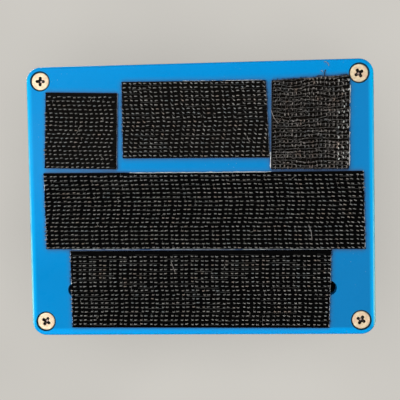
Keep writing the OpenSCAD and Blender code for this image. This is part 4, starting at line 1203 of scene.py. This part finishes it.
def make_floor():
    """Pale floor under the pedal. The camera doesn't see it from below, and the light from below
    reaches the pedal through the part of it that the pedal covers. Far out it fades away."""
    s = Surface("floor", Roughness=0.8, Specular_IOR_Level=0.2)
    s.set("Base Color", s.blend(s.span(s.noise(400), 0.3, 0.7), tint(PALE, 0.98), tint(PALE, 1.02)))
    margin = 1.45 * MM
    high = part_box("base_plate")[1]
    inside = s.times(*(s.math("LESS_THAN", s.math("ABSOLUTE", c), edge + margin)
                       for c, edge in zip(s.place(), high.xy)))
    seen = s.add("ShaderNodeLightPath").outputs["Is Camera Ray"]
    through = s.times(inside, s.math("SUBTRACT", 1.0, seen))
    away = s.add("ShaderNodeVectorMath", {0: s.coords}, operation="LENGTH").outputs["Value"]
    hidden = s.math("MAXIMUM", s.add("ShaderNodeNewGeometry").outputs["Backfacing"],
                    s.span(away, 0.22, 0.75))
    s.see_through(s.shader.outputs[0], s.math("MAXIMUM", through, s.times(seen, hidden)))
    make_plane("floor", 3.0, 0.0, s.material)


def make_backdrop():
    """The pale surface behind the view from below: only the camera sees it, and only from below. It glows pale,
    with a painted shadow that darkens it softly near the pedal."""
    s = Surface("backdrop")
    # painted shadow of the pedal on the backdrop
    painted_shadow = s.span(s.open_sky(40, samples=8), 0.0, 1.0, 0.45, 1.0)
    paper = s.blend(s.span(s.noise(100), 0.3, 0.7), tint(PALE, 0.96), tint(PALE, 1.04))
    glow = s.add("ShaderNodeEmission", {"Color": s.blend(painted_shadow, (0.1, 0.1, 0.1), paper)})
    behind = s.add("ShaderNodeNewGeometry").outputs["Backfacing"]
    facing = s.add("ShaderNodeLayerWeight", {"Blend": 0.5}).outputs["Facing"]
    s.see_through(glow.outputs[0], s.math("MAXIMUM", behind, s.math("GREATER_THAN", facing, 0.5)))
    plane = make_plane("backdrop", 0.6, CAD_BOX[1].z + 0.5 * MM, s.material, flip=True)
    for ray in ("diffuse", "glossy", "transmission", "volume_scatter", "shadow"):
        setattr(plane, "visible_" + ray, False)


def make_plane(name, size, z, material, flip=False):
    mesh = bpy.data.meshes.new(name)
    corners = [(-size, -size, z), (size, -size, z), (size, size, z), (-size, size, z)]
    mesh.from_pydata(corners, [], [(3, 2, 1, 0) if flip else (0, 1, 2, 3)])
    mesh.materials.append(material)
    plane = put_in_scene(name, mesh)
    return plane


LAMPS = (           # name, place, size, share of a plain light level on a level surface
    ("key_over", (-0.45, -0.40, 0.75), (0.4, 0.4), 0.52),
    ("fill_over", (0.60, -0.30, 0.50), (0.6, 0.6), 0.10),
    ("back_over", (0.10, 0.65, 0.60), (0.6, 0.4), 0.14),
    ("soft_under", (0.0, 0.0, -0.80), (0.6, 0.6), 0.05),
    ("front_under", (-0.12, -0.26, -0.40), (0.6, 0.3), 0.25),
    ("rear_under", (-0.10, 0.26, -0.40), (0.5, 0.12), 0.24),
    ("left_under", (-0.32, -0.05, -0.40), (0.10, 0.45), 0.30),
    ("right_under", (0.32, 0.14, -0.40), (0.03, 0.3), 0.06),
)


def make_lights():
    """Soft lamps that aim at the pedal's middle from above, and at its underside from below."""
    for name, at, size, share in LAMPS:
        way = Vector((0, 0, 0.02 if at[2] > 0 else 0)) - Vector(at)
        data = bpy.data.lights.new(name, "AREA")
        data.shape = "RECTANGLE"
        data.size, data.size_y = size
        data.energy = share * math.pi ** 2 * way.length ** 3 / abs(way.z)
        light = put_in_scene(name, data)
        light.location = at
        light.rotation_euler = way.to_track_quat("-Z", "Y").to_euler()
        light.visible_camera = False


def make_world():
    """Even pale light from all sides. The camera, metal and glass see a pale background; the
    underside mirrors the dark below the floor."""
    world = bpy.data.worlds.new("world")
    bpy.context.scene.world = world
    world.use_nodes = True
    w = Nodes(world.node_tree)
    path = w.add("ShaderNodeLightPath").outputs
    way = w.add("ShaderNodeTexCoord").outputs["Generated"]
    height = w.add("ShaderNodeSeparateXYZ", {"Vector": way}).outputs[2]
    mirrored = w.math("MAXIMUM", path["Is Glossy Ray"], path["Is Transmission Ray"])
    pale = w.math("MAXIMUM", path["Is Camera Ray"],
                  w.times(mirrored, w.math("GREATER_THAN", height, 0.0)))
    light = w.times(w.math("SUBTRACT", 1.0, mirrored), SKY_LEVEL)
    background = w.tree.nodes["Background"].inputs
    w.put(background["Color"], (*PALE, 1))
    w.put(background["Strength"], w.math("MAXIMUM", pale, light))


make_floor()
make_backdrop()
make_lights()
make_world()
bpy.context.scene.view_settings.view_transform = "Standard"
